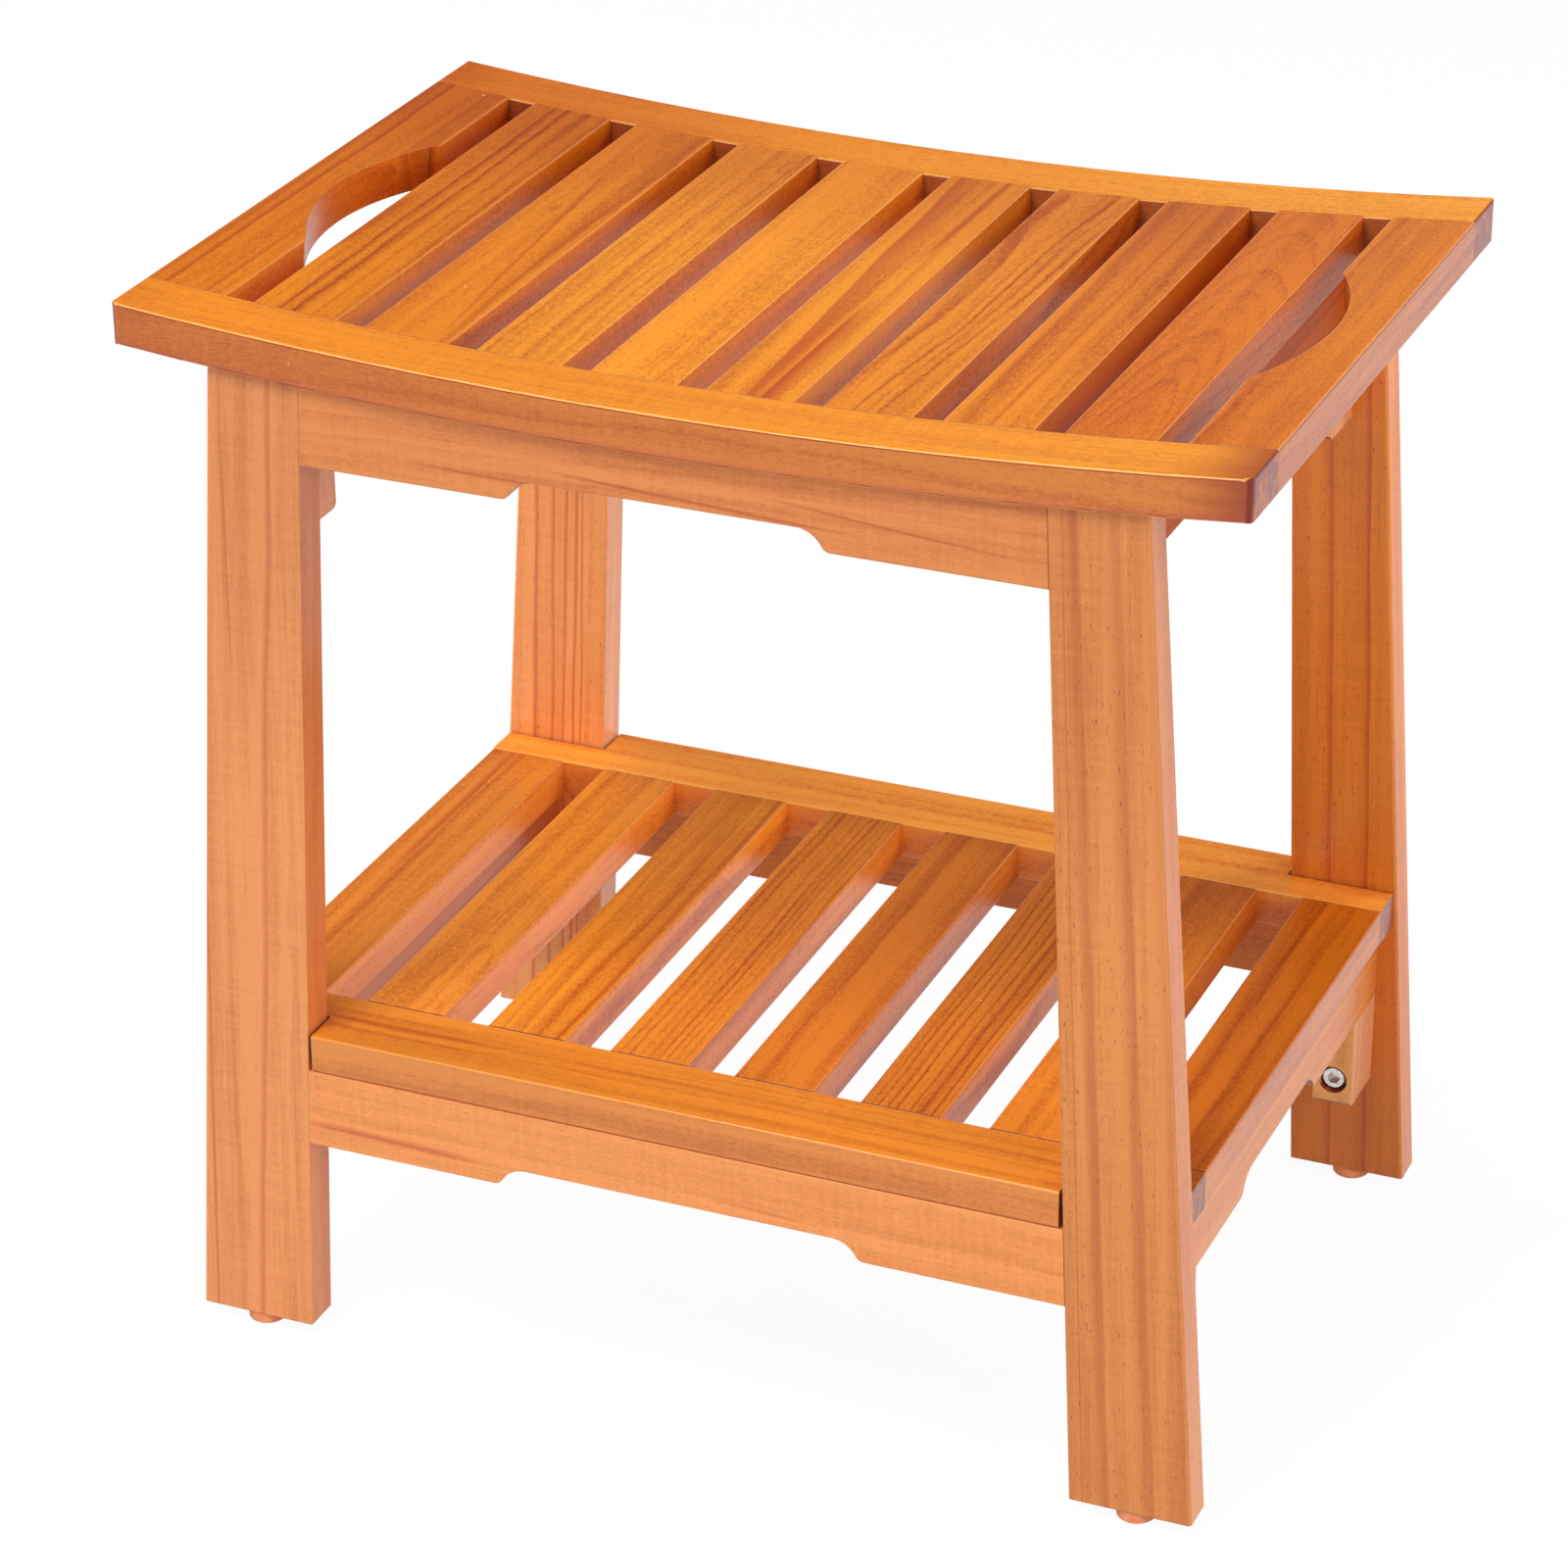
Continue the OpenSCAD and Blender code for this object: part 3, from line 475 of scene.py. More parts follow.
def wear_and_highlight_edges(g, colour, turns, tint, edge_wear_and_highlight, dark_reflection):
    """The stain is thin on the long edges, which also carry a painted highlight, with a painted dark
    reflection below. Masks them too.
    """
    tipped, facing, corner = turns
    tone, warmth = tint
    worn = g.smooth(tipped, *WORN_AND_LIT_GOES, 1.0, 0.0)
    worn = g.math("MULTIPLY", g.smooth(tipped, *WORN_AND_LIT_COMES), worn)
    worn = g.math("MAXIMUM", worn, g.smooth(corner, *CORNER_GOES, CORNER_WEAR_AND_HIGHLIGHT, 0.0))
    edge = g.math("MULTIPLY", worn, g.smooth(facing, *EDGE_MARKS_STOP, edge_wear_and_highlight, 0.0))
    colour = g.mix(edge, colour, toned(EDGE_WEAR_AND_HIGHLIGHT, tone, warmth))
    below = g.smooth(tipped, *DARK_REFLECTION_GOES, dark_reflection, 0.0)
    below = g.math("MULTIPLY", g.smooth(tipped, *DARK_REFLECTION_COMES), below)
    below = g.math("MULTIPLY", below, g.smooth(facing, *EDGE_MARKS_STOP, 1.0, 0.0))
    return g.mix(below, colour, toned(DARK_WOOD, tone - DARK_REFLECTION_DARKER)), edge


def lacquer(g, surface, marks, rounded, aside, edge, polish, sheen):
    """Satin lacquer over slightly raised grain."""
    fine = g.math("SUBTRACT", marks["Fibre"], 0.5)
    gloss = g.math("MULTIPLY_ADD", fine, FIBRE_ROUGH, LACQUER_ROUGH)
    gloss = g.math("MULTIPLY_ADD", marks["Pore"], PORE_ROUGH, gloss)
    gloss = g.math("MULTIPLY_ADD", edge, EDGE_ROUGH, gloss)
    gloss = g.math("MULTIPLY_ADD", aside, SIDE_ROUGH * (1 - min(1, sheen)), gloss)
    g.feed(surface.inputs["Roughness"], gloss)
    height = marks["Fibre"]
    for name, share in RELIEF:
        height = g.math("MULTIPLY_ADD", marks[name], share, height)
    relief = {"Strength": GRAIN_RAISED, "Distance": GRAIN_HEIGHT * MM, "Height": height}
    bump = g.add("ShaderNodeBump", {**relief, "Normal": rounded})
    g.feed(surface.inputs["Normal"], bump.outputs[0])
    level = LACQUER_LEVEL * polish
    surface.inputs["Specular IOR Level"].default_value = level
    coat = g.math("MULTIPLY_ADD", aside, level * (sheen - 1), level)
    g.feed(surface.inputs["Coat Weight"], g.math("MULTIPLY_ADD", edge, EDGE_COAT, coat))
    surface.inputs["Coat Roughness"].default_value = COAT_ROUGH
    g.feed(surface.inputs["Coat Normal"], rounded)


def wood(node, along, across, tone=0.0, warmth=0.0, depth=0.0, contrast=0.5, ring=4.0,
         pith=(30, -20), tilt=(0.0, 0.0), wave=6.0, streaks=0.5, grit=1.1, pores=0.3, bands=(), knots=(),
         shade=(1, 1, 1), fall=(0.5, 1.0, 1.4), ends=(0.0, 0.0), inner_shade=0.0, side=0.5,
         side_shading=SIDE_SHADING_FILTER, sheen=0.4, polish=1.0, edge_wear_and_highlight=0.45, dark_reflection=0.0, bent=False, seed=0.0):
    """Gives a board its own lacquered wood, with the grain along it and growth rings that go through it.

    tone, warmth and depth shift its colours. contrast, streaks, grit and pores are strengths of the
    grain's marks. ring, pith, tilt and wave are the rings' width, the place and lean of their heart beside
    the board, and how far it wanders. shade paints light and shade: it is the colour's lightness at the
    board's start, middle and end, and fall its power for red, green and blue. ends is the strength of the
    darkening at both ends, partly soaked stain and partly painted shade. inner_shade paints shade on faces
    that look into the bench, and side and side_shading paint shade and sheen on sides. polish is the gloss
    of the lacquer and sheen the sides' share of it. edge_wear_and_highlight is the wear of the long edges
    with a painted highlight on them, and dark_reflection the strength of a painted dark reflection below
    them. bent says that the board is a rail of the curved seat."""
    material, g, surface = new_material("wood_" + node)
    low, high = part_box(node)
    centre = (low + high) / 2
    through = along.cross(across).normalized()
    across = through.cross(along).normalized()
    reach = Vector([abs(part) for part in along])
    half = (high - low).dot(reach) / 2
    here = g.add("ShaderNodeTexCoord").outputs["Object"]
    inside = g.vector("SUBTRACT", here, tuple(centre))
    u, v, w = (g.vector("DOT_PRODUCT", inside, tuple(axis)) for axis in (along, across, through))
    point, knot_masks = flow_round_knots(g, g.join(u, v, w), knots)
    marks = read_figure(g, point, pith, tilt, ring, wave, seed)

    tint = (tone, warmth, depth)
    dark = grain_darkness(g, marks, contrast, streaks, grit)
    colour = g.mix(dark, toned(PALE_WOOD, *tint), toned(DARK_WOOD, *tint))
    for number, mark in enumerate(bands):
        mask = band_mask(g, u, v, seed + number, mark)
        colour = g.mix(mask, colour, toned(BAND_WOOD, *tint))
    for mask in knot_masks:
        knot_wood = toned(BAND_WOOD, tone - KNOT_DARKER, warmth, depth)
        colour = g.mix(g.math("MULTIPLY", mask, KNOT_SHARE), colour, knot_wood)
    colour = g.mix(g.math("MULTIPLY", marks["Pore"], pores), colour, toned(PORE_WOOD, tone))
    # Painted light and shade along the board, and darker ends, partly soaked stain and partly painted shade
    colour = shade_and_stain(g, colour, marks["Streak"], u, half, tone, shade, fall, ends)

    # Sides are painted browner and pinker than broad faces, as painted shade and painted sheen, and faces
    # that look into the bench get painted shade
    normal = g.add("ShaderNodeNewGeometry").outputs["Normal"]
    if bent:
        computed, rise = arc_normal(g, here, centre.y, (high - low).y / 2)
        begins, whole = half - RAIL_END_BEGINS * MM, half - RAIL_END_WHOLE * MM
        ending = g.smooth(g.math("ABSOLUTE", u), begins, whole)
        normal = rounded = g.mix_vector(ending, computed, normal)
    else:
        rounded = g.add("ShaderNodeBevel", {"Radius": SOFT_EDGE * MM}, samples=4).outputs[0]
    tipped = g.math("ABSOLUTE", g.vector("DOT_PRODUCT", normal, tuple(through)))
    facing = g.math("ABSOLUTE", g.vector("DOT_PRODUCT", normal, tuple(along)))
    aside = g.smooth(tipped, *SIDE_GOES, 1.0, 0.0)
    colour = g.mix(g.math("MULTIPLY", aside, side), colour, side_shading, "MULTIPLY")
    # A painted reflection of the pale floor, violet, low on the side faces of the seat's rails
    if bent:
        foot = -SEAT_THICK / 2 * MM
        painted_foot_reflection = g.smooth(rise, foot, foot + FOOT_REFLECTION_HEIGHT * MM, FOOT_REFLECTION_SHARE, 0.0)
        colour = g.mix(g.math("MULTIPLY", painted_foot_reflection, aside), colour, linear(*FOOT_REFLECTION))
    # Painted shade on faces that look into the bench
    crosswise = Z.cross(along)
    inward = -crosswise if centre.dot(crosswise) > 0 else crosswise
    painted_inner_shade = g.vector("DOT_PRODUCT", normal, tuple(inward))
    painted_inner_shade = g.smooth(painted_inner_shade, *INWARD_COMES, 0.0, inner_shade)
    colour = g.mix(painted_inner_shade, colour, INNER_SHADE_FILTER, "MULTIPLY")

    colour = darken_ends(g, colour, marks, point, facing, tone, seed)
    # Worn edges with a painted highlight, and a painted dark reflection below them
    turns = (tipped, facing, g.vector("DOT_PRODUCT", normal, rounded))
    colour, edge = wear_and_highlight_edges(g, colour, turns, (tone, warmth), edge_wear_and_highlight, dark_reflection)
    colour = g.mix(g.math("MULTIPLY", marks["Dust"], DUST_SHARE), colour, linear(*DUST))
    g.feed(surface.inputs["Base Color"], colour)
    lacquer(g, surface, marks, rounded, aside, edge, polish, sheen)
    dress(node, material)


def dress(node, material):
    """Puts a material in a CAD node's material slots."""
    for slot in NODES[node].material_slots:
        slot.link = "OBJECT"
        slot.material = material


# Height of the parts of a leg in which the ends of its inner edge are looked for
FOOT_ZONE = 1
HEAD_ZONE = 30


def lean_of(node):
    """Direction of a leg's inner edge, from its foot up: the leg's grain runs along that edge."""
    low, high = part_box(node)
    corners = [vertex.co for vertex in NODES[node].data.vertices]
    foot = min((c for c in corners if c.z < low.z + FOOT_ZONE * MM), key=lambda c: abs(c.x))
    head = min((c for c in corners if c.z > high.z - HEAD_ZONE * MM), key=lambda c: abs(c.x))
    direction = Vector((head.x - foot.x, 0, head.z - foot.z))
    return direction.normalized()


# Looks of the kinds of board. SHADED_APRON is for the two below the ends of the seat, which the photograph
# shows through the hand holds, deep in shade; its darker, redder colour is painted shade.
LEG_LOOK = dict(
    tone=-0.02, warmth=-0.03, depth=-0.5, contrast=0.2, ring=12, pith=(90, 30), streaks=0.32, grit=0.35,
    pores=0.6, fall=(1.0, 1.0, 1.0), side=1.0, side_shading=LEG_SIDE_SHADING, sheen=1.1, edge_wear_and_highlight=0.2,
)
CROSS_LOOK = dict(tone=-0.03, contrast=0.4, ring=7, pith=(50, 16), wave=8, streaks=0.45)
SIDE_APRON_LOOK = dict(
    warmth=0.02, depth=-0.3, contrast=0.35, ring=7, pith=(50, 16), wave=8, streaks=0.4, grit=0.5,
    sheen=1.3,
)
SHADED_APRON = dict(
    tone=-0.14, warmth=0.26, depth=0.6, contrast=0.4, streaks=0.45, grit=1.1, sheen=0.4, polish=0.1,
)
LONG_LOOK = dict(tone=-0.02, contrast=0.35, ring=8, pith=(-45, 18), wave=8, streaks=0.45, sheen=1.0)
BLOCK_LOOK = dict(
    tone=0.13, warmth=-0.11, depth=-0.8, contrast=0.35, ring=6, pith=(30, 24), wave=4, streaks=0.4,
    grit=0.7, pores=0.5, side=0.8, side_shading=(0.97, 0.88, 1.5, 1), sheen=1.0,
)
DOWEL_LOOK = dict(contrast=0.3, ring=3, pith=(20, 10), wave=2, streaks=0.3)

# What single boards have besides the look of their kind, as the photograph shows each of them. Their shade
# values paint light and shade along each board, such as the darker heads of the front legs below the seat.
BOARD_LOOKS = {
    "seat_left_end": dict(
        tone=-0.06, warmth=0.08, depth=0.75, contrast=0.35, ring=9, pith=(-60, 20), wave=5, grit=1.4,
        shade=(0.95, 0.78, 0.55), side=0.8, side_shading=(1.15, 1.2, 6.5, 1), sheen=1.0,
        bands=(
            band(-8, 3, 0.8, 0.7, 0.0, 1.4),
            band(-14, 5, 2, 0.45),
            band(9, 2, 0.8, 0.45),
        ),
    ),
    "seat_slat_1": dict(
        tone=-0.07, warmth=0.08, depth=0.82, contrast=1.1, ring=6.2, pith=(66, 10), wave=3, grit=1.4,
        shade=(1.1, 0.92, 0.62), side=1.0, side_shading=(1.1, 1.2, 1.5, 1),
        bands=(
            band(-14, 6, 4, 0.7, 0.03, 0.5, (-70, 15)),
        ),
    ),
    "seat_slat_2": dict(
        tone=-0.04, warmth=0.06, depth=0.62, contrast=0.5, ring=17, pith=(-80, 30), wave=5, streaks=0.5,
        grit=1.4, shade=(0.97, 1.0, 0.75), side=1.0, side_shading=(1.0, 1.02, 1.35, 1),
        knots=((21, -6, 2.6),),
        bands=(
            band(2, 2.0, 1.0, 0.58, -0.09, 1.0, (-130, 90)),
        ),
    ),
    "seat_slat_3": dict(
        tone=0.0, depth=0.42, contrast=0.6, ring=5.6, pith=(58, 12), wave=5, streaks=0.35, grit=1.4,
        shade=(1.0, 1.05, 0.7), side=0.75, side_shading=(0.9, 0.8, 1.3, 1),
    ),
    "seat_slat_4": dict(
        tone=0.035, depth=0.42, contrast=0.35, ring=10, pith=(-70, 20), wave=6, grit=1.4,
        shade=(1.03, 1.0, 0.8),
    ),
    "seat_slat_5": dict(
        tone=-0.01, warmth=0.03, depth=0.5, contrast=0.28, ring=12, pith=(40, 16), tilt=(0.02, 0.05),
        wave=10, streaks=0.55, grit=1.4, shade=(1.08, 1.1, 0.8), side=1.0,
        side_shading=(0.95, 0.98, 1.5, 1),
        bands=(
            band(-7, -12, 0.7, 0.7, -0.045, 1.5),
            band(5, -8, 0.7, 0.96, 0.0, 1.2, (-190, 0)),
            band(6, 3, 2.5, 0.7, 0.02, 1.0, (10, 175)),
        ),
    ),
    "seat_slat_6": dict(
        tone=-0.01, warmth=0.035, depth=0.5, contrast=0.95, ring=5.2, pith=(-22, 12), tilt=(0.08, 0.03),
        wave=9, grit=1.4, shade=(0.96, 1.0, 0.83), side=1.0, side_shading=(0.86, 0.76, 1.0, 1),
    ),
    "seat_slat_7": dict(
        tone=-0.02, warmth=0.06, depth=0.65, contrast=0.42, ring=13, pith=(90, 10), wave=5, streaks=0.5,
        grit=1.4, shade=(1.06, 0.92, 0.65), side=1.0, knots=((29, 12, 2.2),),
        bands=(
            band(1, 2.0, 1.2, 0.45),
        ),
    ),
    "seat_slat_8": dict(
        tone=-0.02, warmth=0.1, depth=0.88, contrast=0.48, ring=2.8, pith=(3, 15), tilt=(0.0, 0.1),
        wave=9, streaks=0.4, grit=1.4, shade=(0.82, 0.85, 0.8), side=1.0,
        side_shading=(0.95, 0.85, 1.6, 1),
    ),
    "seat_right_end": dict(
        tone=-0.04, warmth=0.09, depth=0.9, contrast=0.65, ring=8, pith=(50, 14), wave=7, streaks=0.5,
        grit=1.4, shade=(0.85, 1.0, 0.95), side=1.0, sheen=1.6, edge_wear_and_highlight=0.5, dark_reflection=0.8,
    ),
    "seat_front_rail": dict(
        tone=0.01, warmth=0.02, depth=0.45, contrast=0.22, ring=3.6, pith=(70, 20), wave=6,
        streaks=0.25, grit=0.9, shade=(0.92, 1.0, 1.1), ends=(0.2, 0.9), side=1.0,
        side_shading=RAIL_SIDE_SHADING, edge_wear_and_highlight=0.6, dark_reflection=0.9,
    ),
    "seat_back_rail": dict(
        tone=0.02, warmth=0.02, depth=0.45, contrast=0.22, ring=3.8, pith=(-70, 20), wave=6,
        streaks=0.25, shade=(0.6, 1.0, 1.25), ends=(0.45, 0.0), inner_shade=0.65, side=0.9,
        side_shading=RAIL_SIDE_SHADING, edge_wear_and_highlight=0.5, dark_reflection=0.4,
    ),
    "seat_left_apron": SHADED_APRON,
    "seat_right_apron": SHADED_APRON,
    "front_apron": dict(
        tone=-0.07, depth=-0.5, contrast=0.24, ring=9, pith=(-40, 16), tilt=(0.05, 0.0), streaks=0.3,
        grit=0.5,
        bands=(
            band(-4, 1.5, 0.8, 0.64, -0.05, 0.8, (-60, 90)),
            band(-10, 1.5, 0.8, 0.58, -0.03, 0.8, (-110, -20)),
            band(4, 1.2, 0.8, 0.51, -0.08, 0.8, (30, 150)),
        ),
    ),
    "front_stretcher": dict(
        tone=0.05, warmth=-0.03, depth=-0.6, contrast=0.16, ring=11, pith=(60, 20), streaks=0.16,
        grit=0.5,
        bands=(
            band(-11, -3.5, 1.5, 0.66, -0.02, 0.6, (-175, -75)),
            band(-3, 1.0, 0.8, 0.45, -0.03, 1.0, (10, 60)),
        ),
    ),
    "shelf_front_rail": dict(
        tone=-0.035, warmth=0.02, depth=0.25, contrast=0.4, ring=7, pith=(60, -14), wave=9, streaks=0.5,
        grit=0.7, ends=(0.6, 0.5), side=1.0, side_shading=(0.98, 1.03, 3.0, 1), sheen=1.2,
        bands=(
            band(2, 3, 2, 0.64, 0.0, 1.0, (-170, -80)),
        ),
    ),
    "shelf_back_rail": dict(
        tone=0.12, ring=7, pith=(-60, -14), wave=9, streaks=0.4, shade=(1.2, 1.2, 1.2),
        fall=(1.0, 1.0, 1.3), inner_shade=0.3,
    ),
    "shelf_left_end": dict(
        tone=-0.02, warmth=0.02, depth=0.1, ring=9, pith=(-50, 14), wave=7, ends=(0.0, 0.35), side=1.0,
        side_shading=(1.25, 1.45, 1.7, 1), sheen=1.0,
        bands=(
            band(-6, 4, 1.5, 0.64, 0.0, 1.2, (-20, 135)),
        ),
    ),
    "shelf_slat_1": dict(
        tone=0.035, warmth=-0.01, depth=0.1, contrast=0.55, ring=6, pith=(10, 13), tilt=(0.02, 0.07),
        wave=9, streaks=0.5, ends=(0.0, 0.35), side=1.0, side_shading=SHELF_SIDE_SHADING, sheen=1.1,
    ),
    "shelf_slat_2": dict(
        tone=0.0, depth=0.3, contrast=0.55, ring=8, pith=(-60, 10), wave=5, ends=(0.0, 0.35), side=1.0,
        side_shading=SHELF_SIDE_SHADING, sheen=1.1,
        bands=(
            band(14, 2, 1, 0.64),
        ),
    ),
    "shelf_slat_3": dict(
        tone=-0.02, warmth=0.03, depth=0.25, contrast=0.85, ring=3.6, pith=(60, 12), wave=6,
        streaks=0.35, ends=(0.0, 0.35), side=1.0, side_shading=SHELF_SIDE_SHADING, sheen=1.1,
    ),
    "shelf_slat_4": dict(
        tone=-0.06, warmth=0.07, depth=0.3, ring=10, pith=(-80, 14), wave=6, streaks=0.5,
        ends=(0.0, 0.35), side=1.0, side_shading=(1.1, 1.1, 1.5, 1), sheen=1.1,
    ),
    "shelf_slat_5": dict(
        tone=-0.075, warmth=0.05, depth=0.3, contrast=1.0, ring=3.5, pith=(-62, 10), wave=5,
        streaks=0.4, ends=(0.0, 0.35), side=1.0, side_shading=(1.1, 1.1, 1.5, 1), sheen=1.1,
    ),
    "shelf_slat_6": dict(
        warmth=0.06, depth=0.35, contrast=0.35, ring=9, pith=(70, 14), wave=6, streaks=0.5,
        ends=(0.0, 0.35), side=1.0, side_shading=(1.1, 1.1, 1.5, 1), sheen=1.1,
    ),
    "shelf_right_end": dict(
        tone=-0.07, warmth=0.12, depth=0.6, contrast=0.6, ring=11, pith=(-70, 12), wave=5, streaks=0.6,
        side=1.0, side_shading=(1.05, 1.1, 2.6, 1), sheen=1.5,
    ),
    "leg_front_left": dict(
        tone=-0.01, warmth=-0.04, depth=-0.7, pores=0.2, shade=(1.06, 1.02, 0.86),
        side_shading=(0.92, 0.8, 0.66, 1), sheen=0.8,
        bands=(
            band(8, 2.6, 1.6, 0.45, 0.025, 1.2),
            band(-19, 1.6, 0.8, 0.51, -0.004, 0.4),
            band(-4, 1.2, 0.8, 0.38, -0.02, 1.0, (60, 190)),
        ),
    ),
    "leg_front_right": dict(
        tone=-0.045, shade=(0.98, 1.0, 0.9),
        bands=(
            band(-19.5, 0.6, 0.4, 0.42, 0.0, 0.0),
            band(-11.5, 6, 1.6, 0.44, -0.012, 1.3),
            band(5.2, 7, 1.8, 0.38, -0.02, 1.2),
            band(19, 6, 2.5, 0.28, -0.02),
        ),
    ),
    "leg_back_left": dict(
        tone=0.1, warmth=-0.06, depth=-0.7, shade=(1.1, 1.1, 1.1), side_shading=(0.93, 1.0, 1.5, 1),
        bands=(
            band(-8, 2.2, 1.0, 0.64),
            band(0, 2.0, 1.0, 0.64),
            band(6, 1.6, 1.0, 0.64),
            band(11, 1.6, 1.0, 0.7),
            band(14, 1.2, 0.8, 0.64),
        ),
    ),
    "leg_back_right": dict(
        tone=-0.04, warmth=0.05, depth=0.05, shade=(0.8, 1.0, 1.0), fall=(0.5, 1.0, 1.4),
        bands=(
            band(8, 3, 0.8, 0.62),
            band(-8, 2.5, 1.2),
        ),
    ),
}


def board_axes(node):
    """Which way a board's grain runs, the axis across its broad face, and the look of its kind."""
    if node.startswith("leg_"):
        return lean_of(node), X, LEG_LOOK
    if "_block_" in node:
        return Z, X, BLOCK_LOOK
    if node.startswith("seat_") and node.endswith("_rail"):
        return X, Y, {**LONG_LOOK, "bent": True}
    if node.endswith("_rail"):
        return X, Y, LONG_LOOK
    if node in ("front_apron", "back_apron", "front_stretcher", "back_stretcher"):
        return X, Z, LONG_LOOK
    if node.endswith("_apron"):
        return Y, Z, SIDE_APRON_LOOK
    if node.endswith("_dowels"):
        return Y, X, DOWEL_LOOK
    return Y, X, CROSS_LOOK


# Step of the noise seed from one board to the next
SEED_STEP = 1.37


def dress_wood():
    """Each wooden node gets its own board's look, on top of the look of its kind."""
    for number, node in enumerate(sorted(NODES)):
        if "wood" in NODES[node].material_slots[0].material.name:
            along, across, look = board_axes(node)
            look = {**look, **BOARD_LOOKS.get(node, {})}
            wood(node, along, across, seed=SEED_STEP * number, **look)


# Plated metals, as (material, colour, roughness, strength of the turning marks, nodes)
METALS = (
    ("bright_nickel", (214, 206, 202), 0.22, 0.10, ("leg_bolts",)),
    ("zinc_steel", (196, 196, 190), 0.34, 0.15, ("seat_screws", "shelf_screws", "foot_screws")),
    ("yellow_brass", (206, 168, 96), 0.32, 0.20, ("leg_inserts",)),
)
# Cells of noise a metre in the turning marks and in the duller spots
TURNING_CELLS = (900, 9000, 9000)
DULL_CELLS = (700, 700, 700)
# Brightness of dull spots, the noise values between which they show, and what the roughness is in clear
# places and gains in dull ones, besides the metal's own
DULL_SHARE = 0.82
DULL_SPAN = (0.45, 0.75)
CLEAR_ROUGH = -0.06
DULL_ROUGH = 0.18
# Depth of the turning marks
TURNING_DEPTH = 0.05
# Pads under the legs: their colour between clouds, in clouds and in the dark grain
PAD_COLOURS = ((250, 138, 84), (255, 165, 112), (120, 56, 38))
# Cells of noise a metre and limits of the noise for the clouds and for the grain, and the grain's share
CLOUD_CELLS = (300, 300, 300)
CLOUD_SPAN = (0.3, 0.7)
GRAIN_CELLS = (2400, 2400, 2400)
GRAIN_SPAN = (0.55, 0.75)
GRAIN_SHARE = 0.4
# Relief of the grain, the pads' roughness and what the clouds add to it
PAD_RELIEF = {"Strength": 0.3, "Distance": 0.15 * MM}
PAD_ROUGH = 0.42
CLOUD_ROUGH = 0.2


def metal(name, colour, roughness, brushed, nodes):
    """Plated metal with fine turning marks and a few duller spots."""
    material, g, surface = new_material(name)
    here = g.add("ShaderNodeTexCoord").outputs["Object"]
    lines = g.noise(here, 2.0, TURNING_CELLS, detail=2)
    spots = g.noise(here, 7.0, DULL_CELLS, detail=3)
    dull = linear(*(DULL_SHARE * part for part in colour))
    shade = g.mix(g.smooth(spots, *DULL_SPAN), linear(*colour), dull)
    g.feed(surface.inputs["Base Color"], shade)
    worn = g.math("MULTIPLY_ADD", spots, DULL_ROUGH, roughness + CLEAR_ROUGH)
    g.feed(surface.inputs["Roughness"], worn)
    relief = {"Strength": brushed, "Distance": TURNING_DEPTH * MM, "Height": lines}
    g.feed(surface.inputs["Normal"], g.add("ShaderNodeBump", relief).outputs[0])
    surface.inputs["Metallic"].default_value = 1.0
    for node in nodes:
        dress(node, material)


def dress_fittings():
    """Metal for bolts, screws and inserts, and a clouded brown material for the pads."""
    for values in METALS:
        metal(*values)

    material, g, surface = new_material("brown_pad")
    here = g.add("ShaderNodeTexCoord").outputs["Object"]
    cloudy = g.noise(here, 1.0, CLOUD_CELLS, detail=4)
    grain = g.noise(here, 4.0, GRAIN_CELLS, detail=2)
    pale, paler, dark = (linear(*colour) for colour in PAD_COLOURS)
    colour = g.mix(g.smooth(cloudy, *CLOUD_SPAN), pale, paler)
    colour = g.mix(g.smooth(grain, *GRAIN_SPAN, 0.0, GRAIN_SHARE), colour, dark)
    g.feed(surface.inputs["Base Color"], colour)
    g.feed(surface.inputs["Roughness"], g.math("MULTIPLY_ADD", cloudy, CLOUD_ROUGH, PAD_ROUGH))
    bump = g.add("ShaderNodeBump", {**PAD_RELIEF, "Height": grain})
    g.feed(surface.inputs["Normal"], bump.outputs[0])
    for corner in ("front_left", "front_right", "back_left", "back_right"):
        dress(f"foot_{corner}", material)


def lay_floor():
    """A round pale floor. The camera and reflections see it as white as the background, but for shadow."""
    mesh = bpy.data.meshes.new("floor")
    shape = bmesh.new()
    bmesh.ops.create_circle(shape, cap_ends=True, radius=FLOOR_RADIUS * MM, segments=FLOOR_SIDES)
    shape.to_mesh(mesh)
    shape.free()
    floor = bpy.data.objects.new("floor", mesh)
    bpy.context.scene.collection.objects.link(floor)
    floor.location.z = -FLOOR_DROP * MM
    material = bpy.data.materials.new("pale_floor")
    material.use_nodes = True
    material.node_tree.nodes.clear()
    g = Graph(material.node_tree)
    path = g.add("ShaderNodeLightPath").outputs
    seen = g.math("MAXIMUM", path["Is Camera Ray"], path["Is Glossy Ray"])
    seen = g.math("MAXIMUM", seen, path["Is Transmission Ray"])
    bounce = g.add("ShaderNodeBsdfDiffuse", {"Color": (FLOOR_BOUNCE, FLOOR_BOUNCE, FLOOR_BOUNCE, 1)})
    matt = g.add("ShaderNodeBsdfDiffuse", {"Color": (FLOOR_WHITE, FLOOR_WHITE, FLOOR_WHITE, 1)})
    glow = g.add("ShaderNodeEmission", {"Color": (1, 1, 1, 1), "Strength": FLOOR_GLOW})
    shown = g.add("ShaderNodeMixShader", {0: FLOOR_SHOWN, 1: matt.outputs[0], 2: glow.outputs[0]})
    both = g.add("ShaderNodeMixShader", {0: seen, 1: bounce.outputs[0], 2: shown.outputs[0]})
    g.feed(g.add("ShaderNodeOutputMaterial").inputs["Surface"], both.outputs[0])
    mesh.materials.append(material)


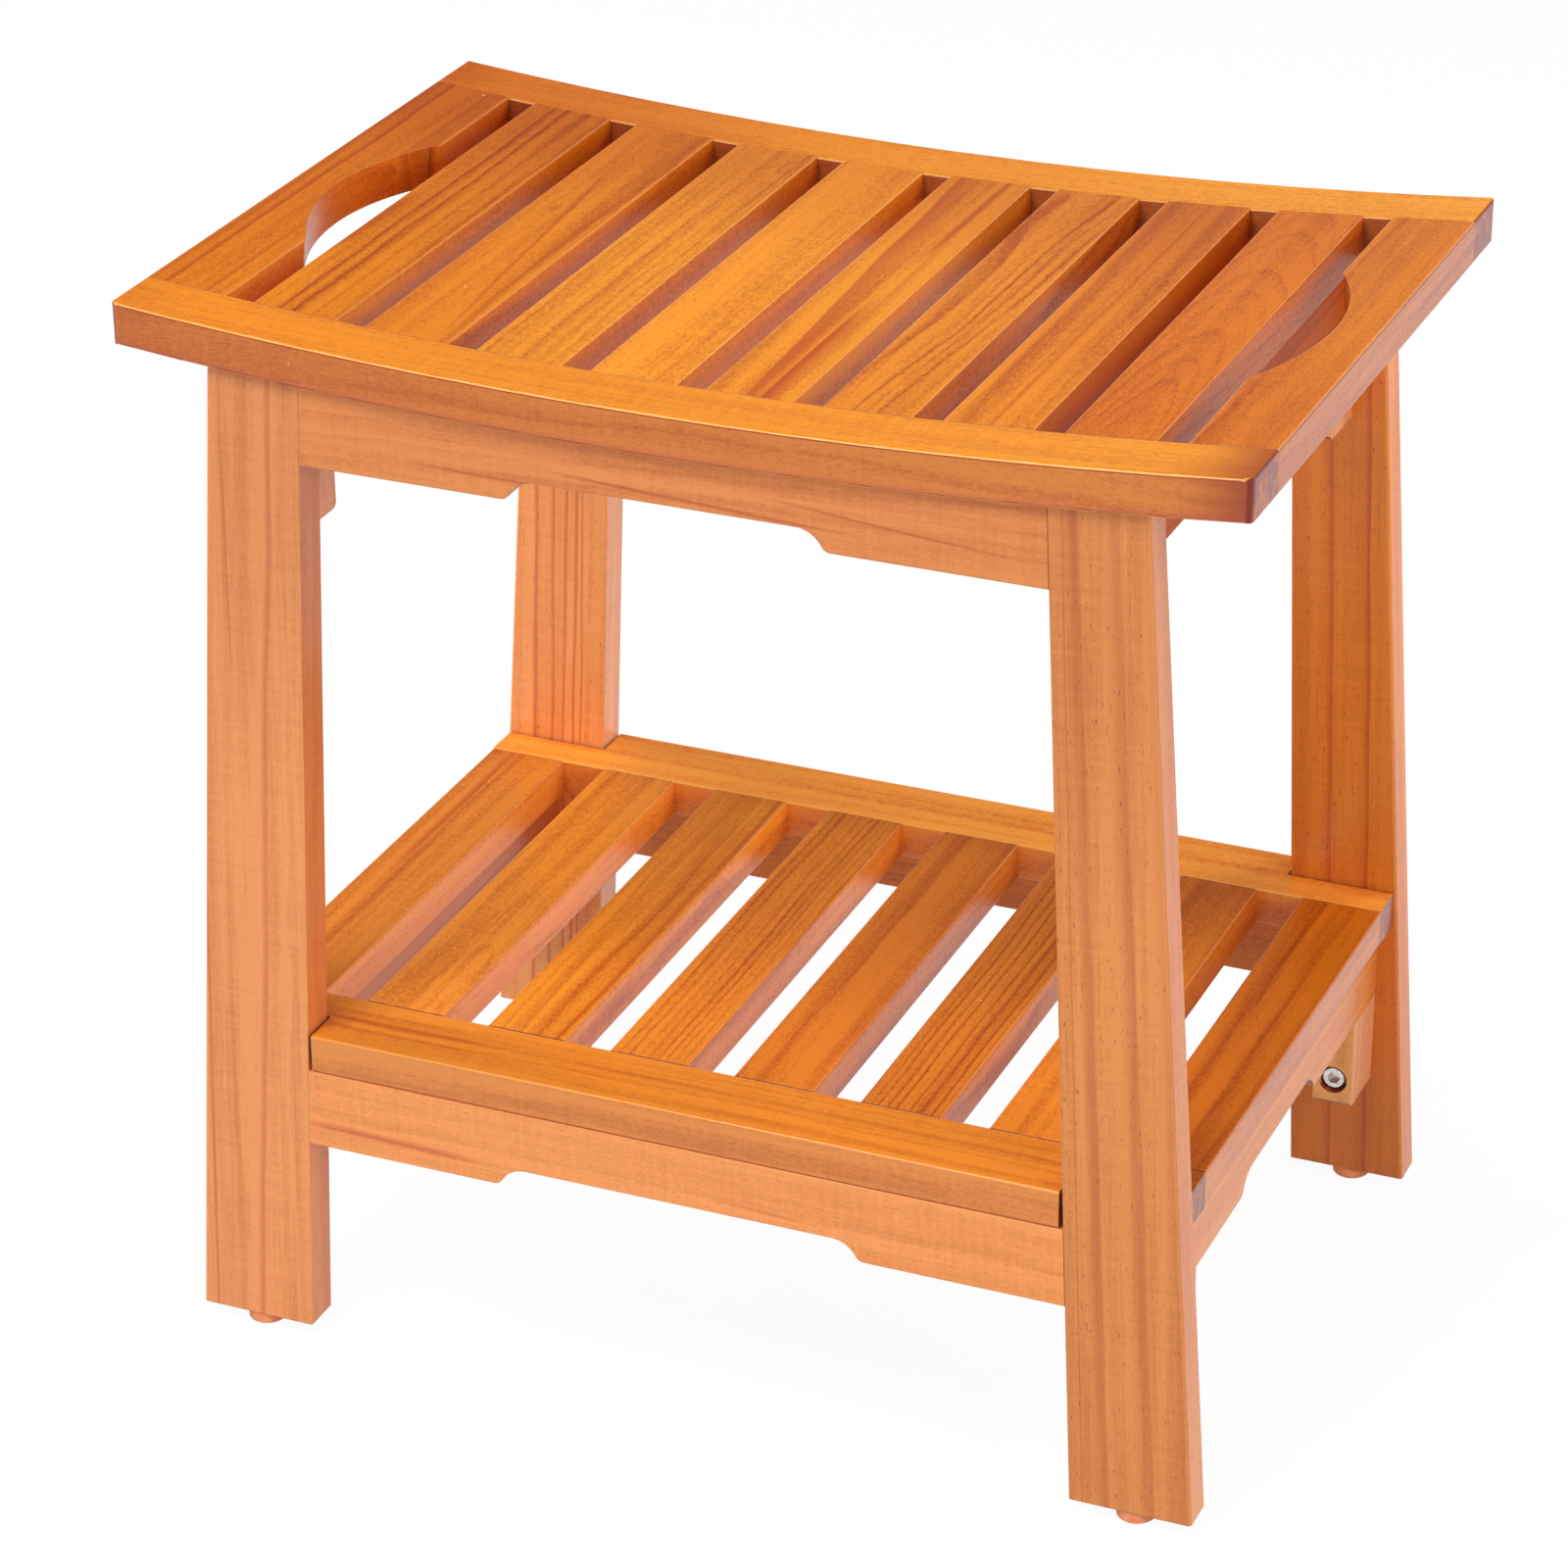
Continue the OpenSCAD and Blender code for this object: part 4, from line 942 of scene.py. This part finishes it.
def light_studio():
    """A world that is white at the horizon and dim overhead, and soft square lamps."""
    world = bpy.data.worlds.new("studio")
    bpy.context.scene.world = world
    world.use_nodes = True
    world.node_tree.nodes.clear()
    g = Graph(world.node_tree)
    up = g.split(g.add("ShaderNodeTexCoord").outputs["Generated"])[2]
    light = g.smooth(up, HORIZON_TOP, CEILING_START, HORIZON_LIGHT, CEILING_LIGHT)
    sky = g.add("ShaderNodeBackground", {"Color": (1, 1, 1, 1), "Strength": light})
    g.feed(g.add("ShaderNodeOutputWorld").inputs["Surface"], sky.outputs[0])

    aim = (CAD_LOW + CAD_HIGH) / 2
    for name, towards, distance, side, power in LAMPS:
        lamp = bpy.data.lights.new(name, "AREA")
        lamp.shape = "SQUARE"
        lamp.size = side * MM
        lamp.energy = power
        holder = bpy.data.objects.new(name, lamp)
        bpy.context.scene.collection.objects.link(holder)
        towards = Vector(towards).normalized()
        holder.location = aim + towards * distance * MM
        holder.rotation_mode = "QUATERNION"
        holder.rotation_quaternion = (-towards).to_track_quat("-Z", "Y")


def place_camera():
    """Sets the fitted camera. The shift puts the centre of the view where the photograph has it."""
    place, aim = Vector(CAMERA_PLACE), Vector(CAMERA_AIM)
    ahead = (aim - place).normalized()
    level = ahead.cross(Z).normalized()
    upward = level.cross(ahead)
    turn, keep = math.sin(CAMERA_ROLL), math.cos(CAMERA_ROLL)
    right = keep * level + turn * upward
    top = keep * upward - turn * level
    camera = bpy.data.objects.new("camera", bpy.data.cameras.new("camera"))
    bpy.context.scene.collection.objects.link(camera)
    axes = Matrix((right, top, -ahead)).transposed()
    camera.matrix_world = Matrix.Translation(place * MM) @ axes.to_4x4()
    camera.data.sensor_width = SENSOR_WIDTH
    camera.data.sensor_fit = "HORIZONTAL"
    camera.data.lens = FOCAL_PIXELS * SENSOR_WIDTH / IMAGE_SIDE
    camera.data.shift_x = (IMAGE_SIDE / 2 - FRAME_CENTRE[0]) / IMAGE_SIDE
    camera.data.shift_y = (FRAME_CENTRE[1] - IMAGE_SIDE / 2) / IMAGE_SIDE
    camera.data.clip_end = FARTHEST_SEEN * MM
    bpy.context.scene.camera = camera


dress_wood()
dress_fittings()
lay_floor()
light_studio()
place_camera()
bpy.context.scene.view_settings.view_transform = "Standard"
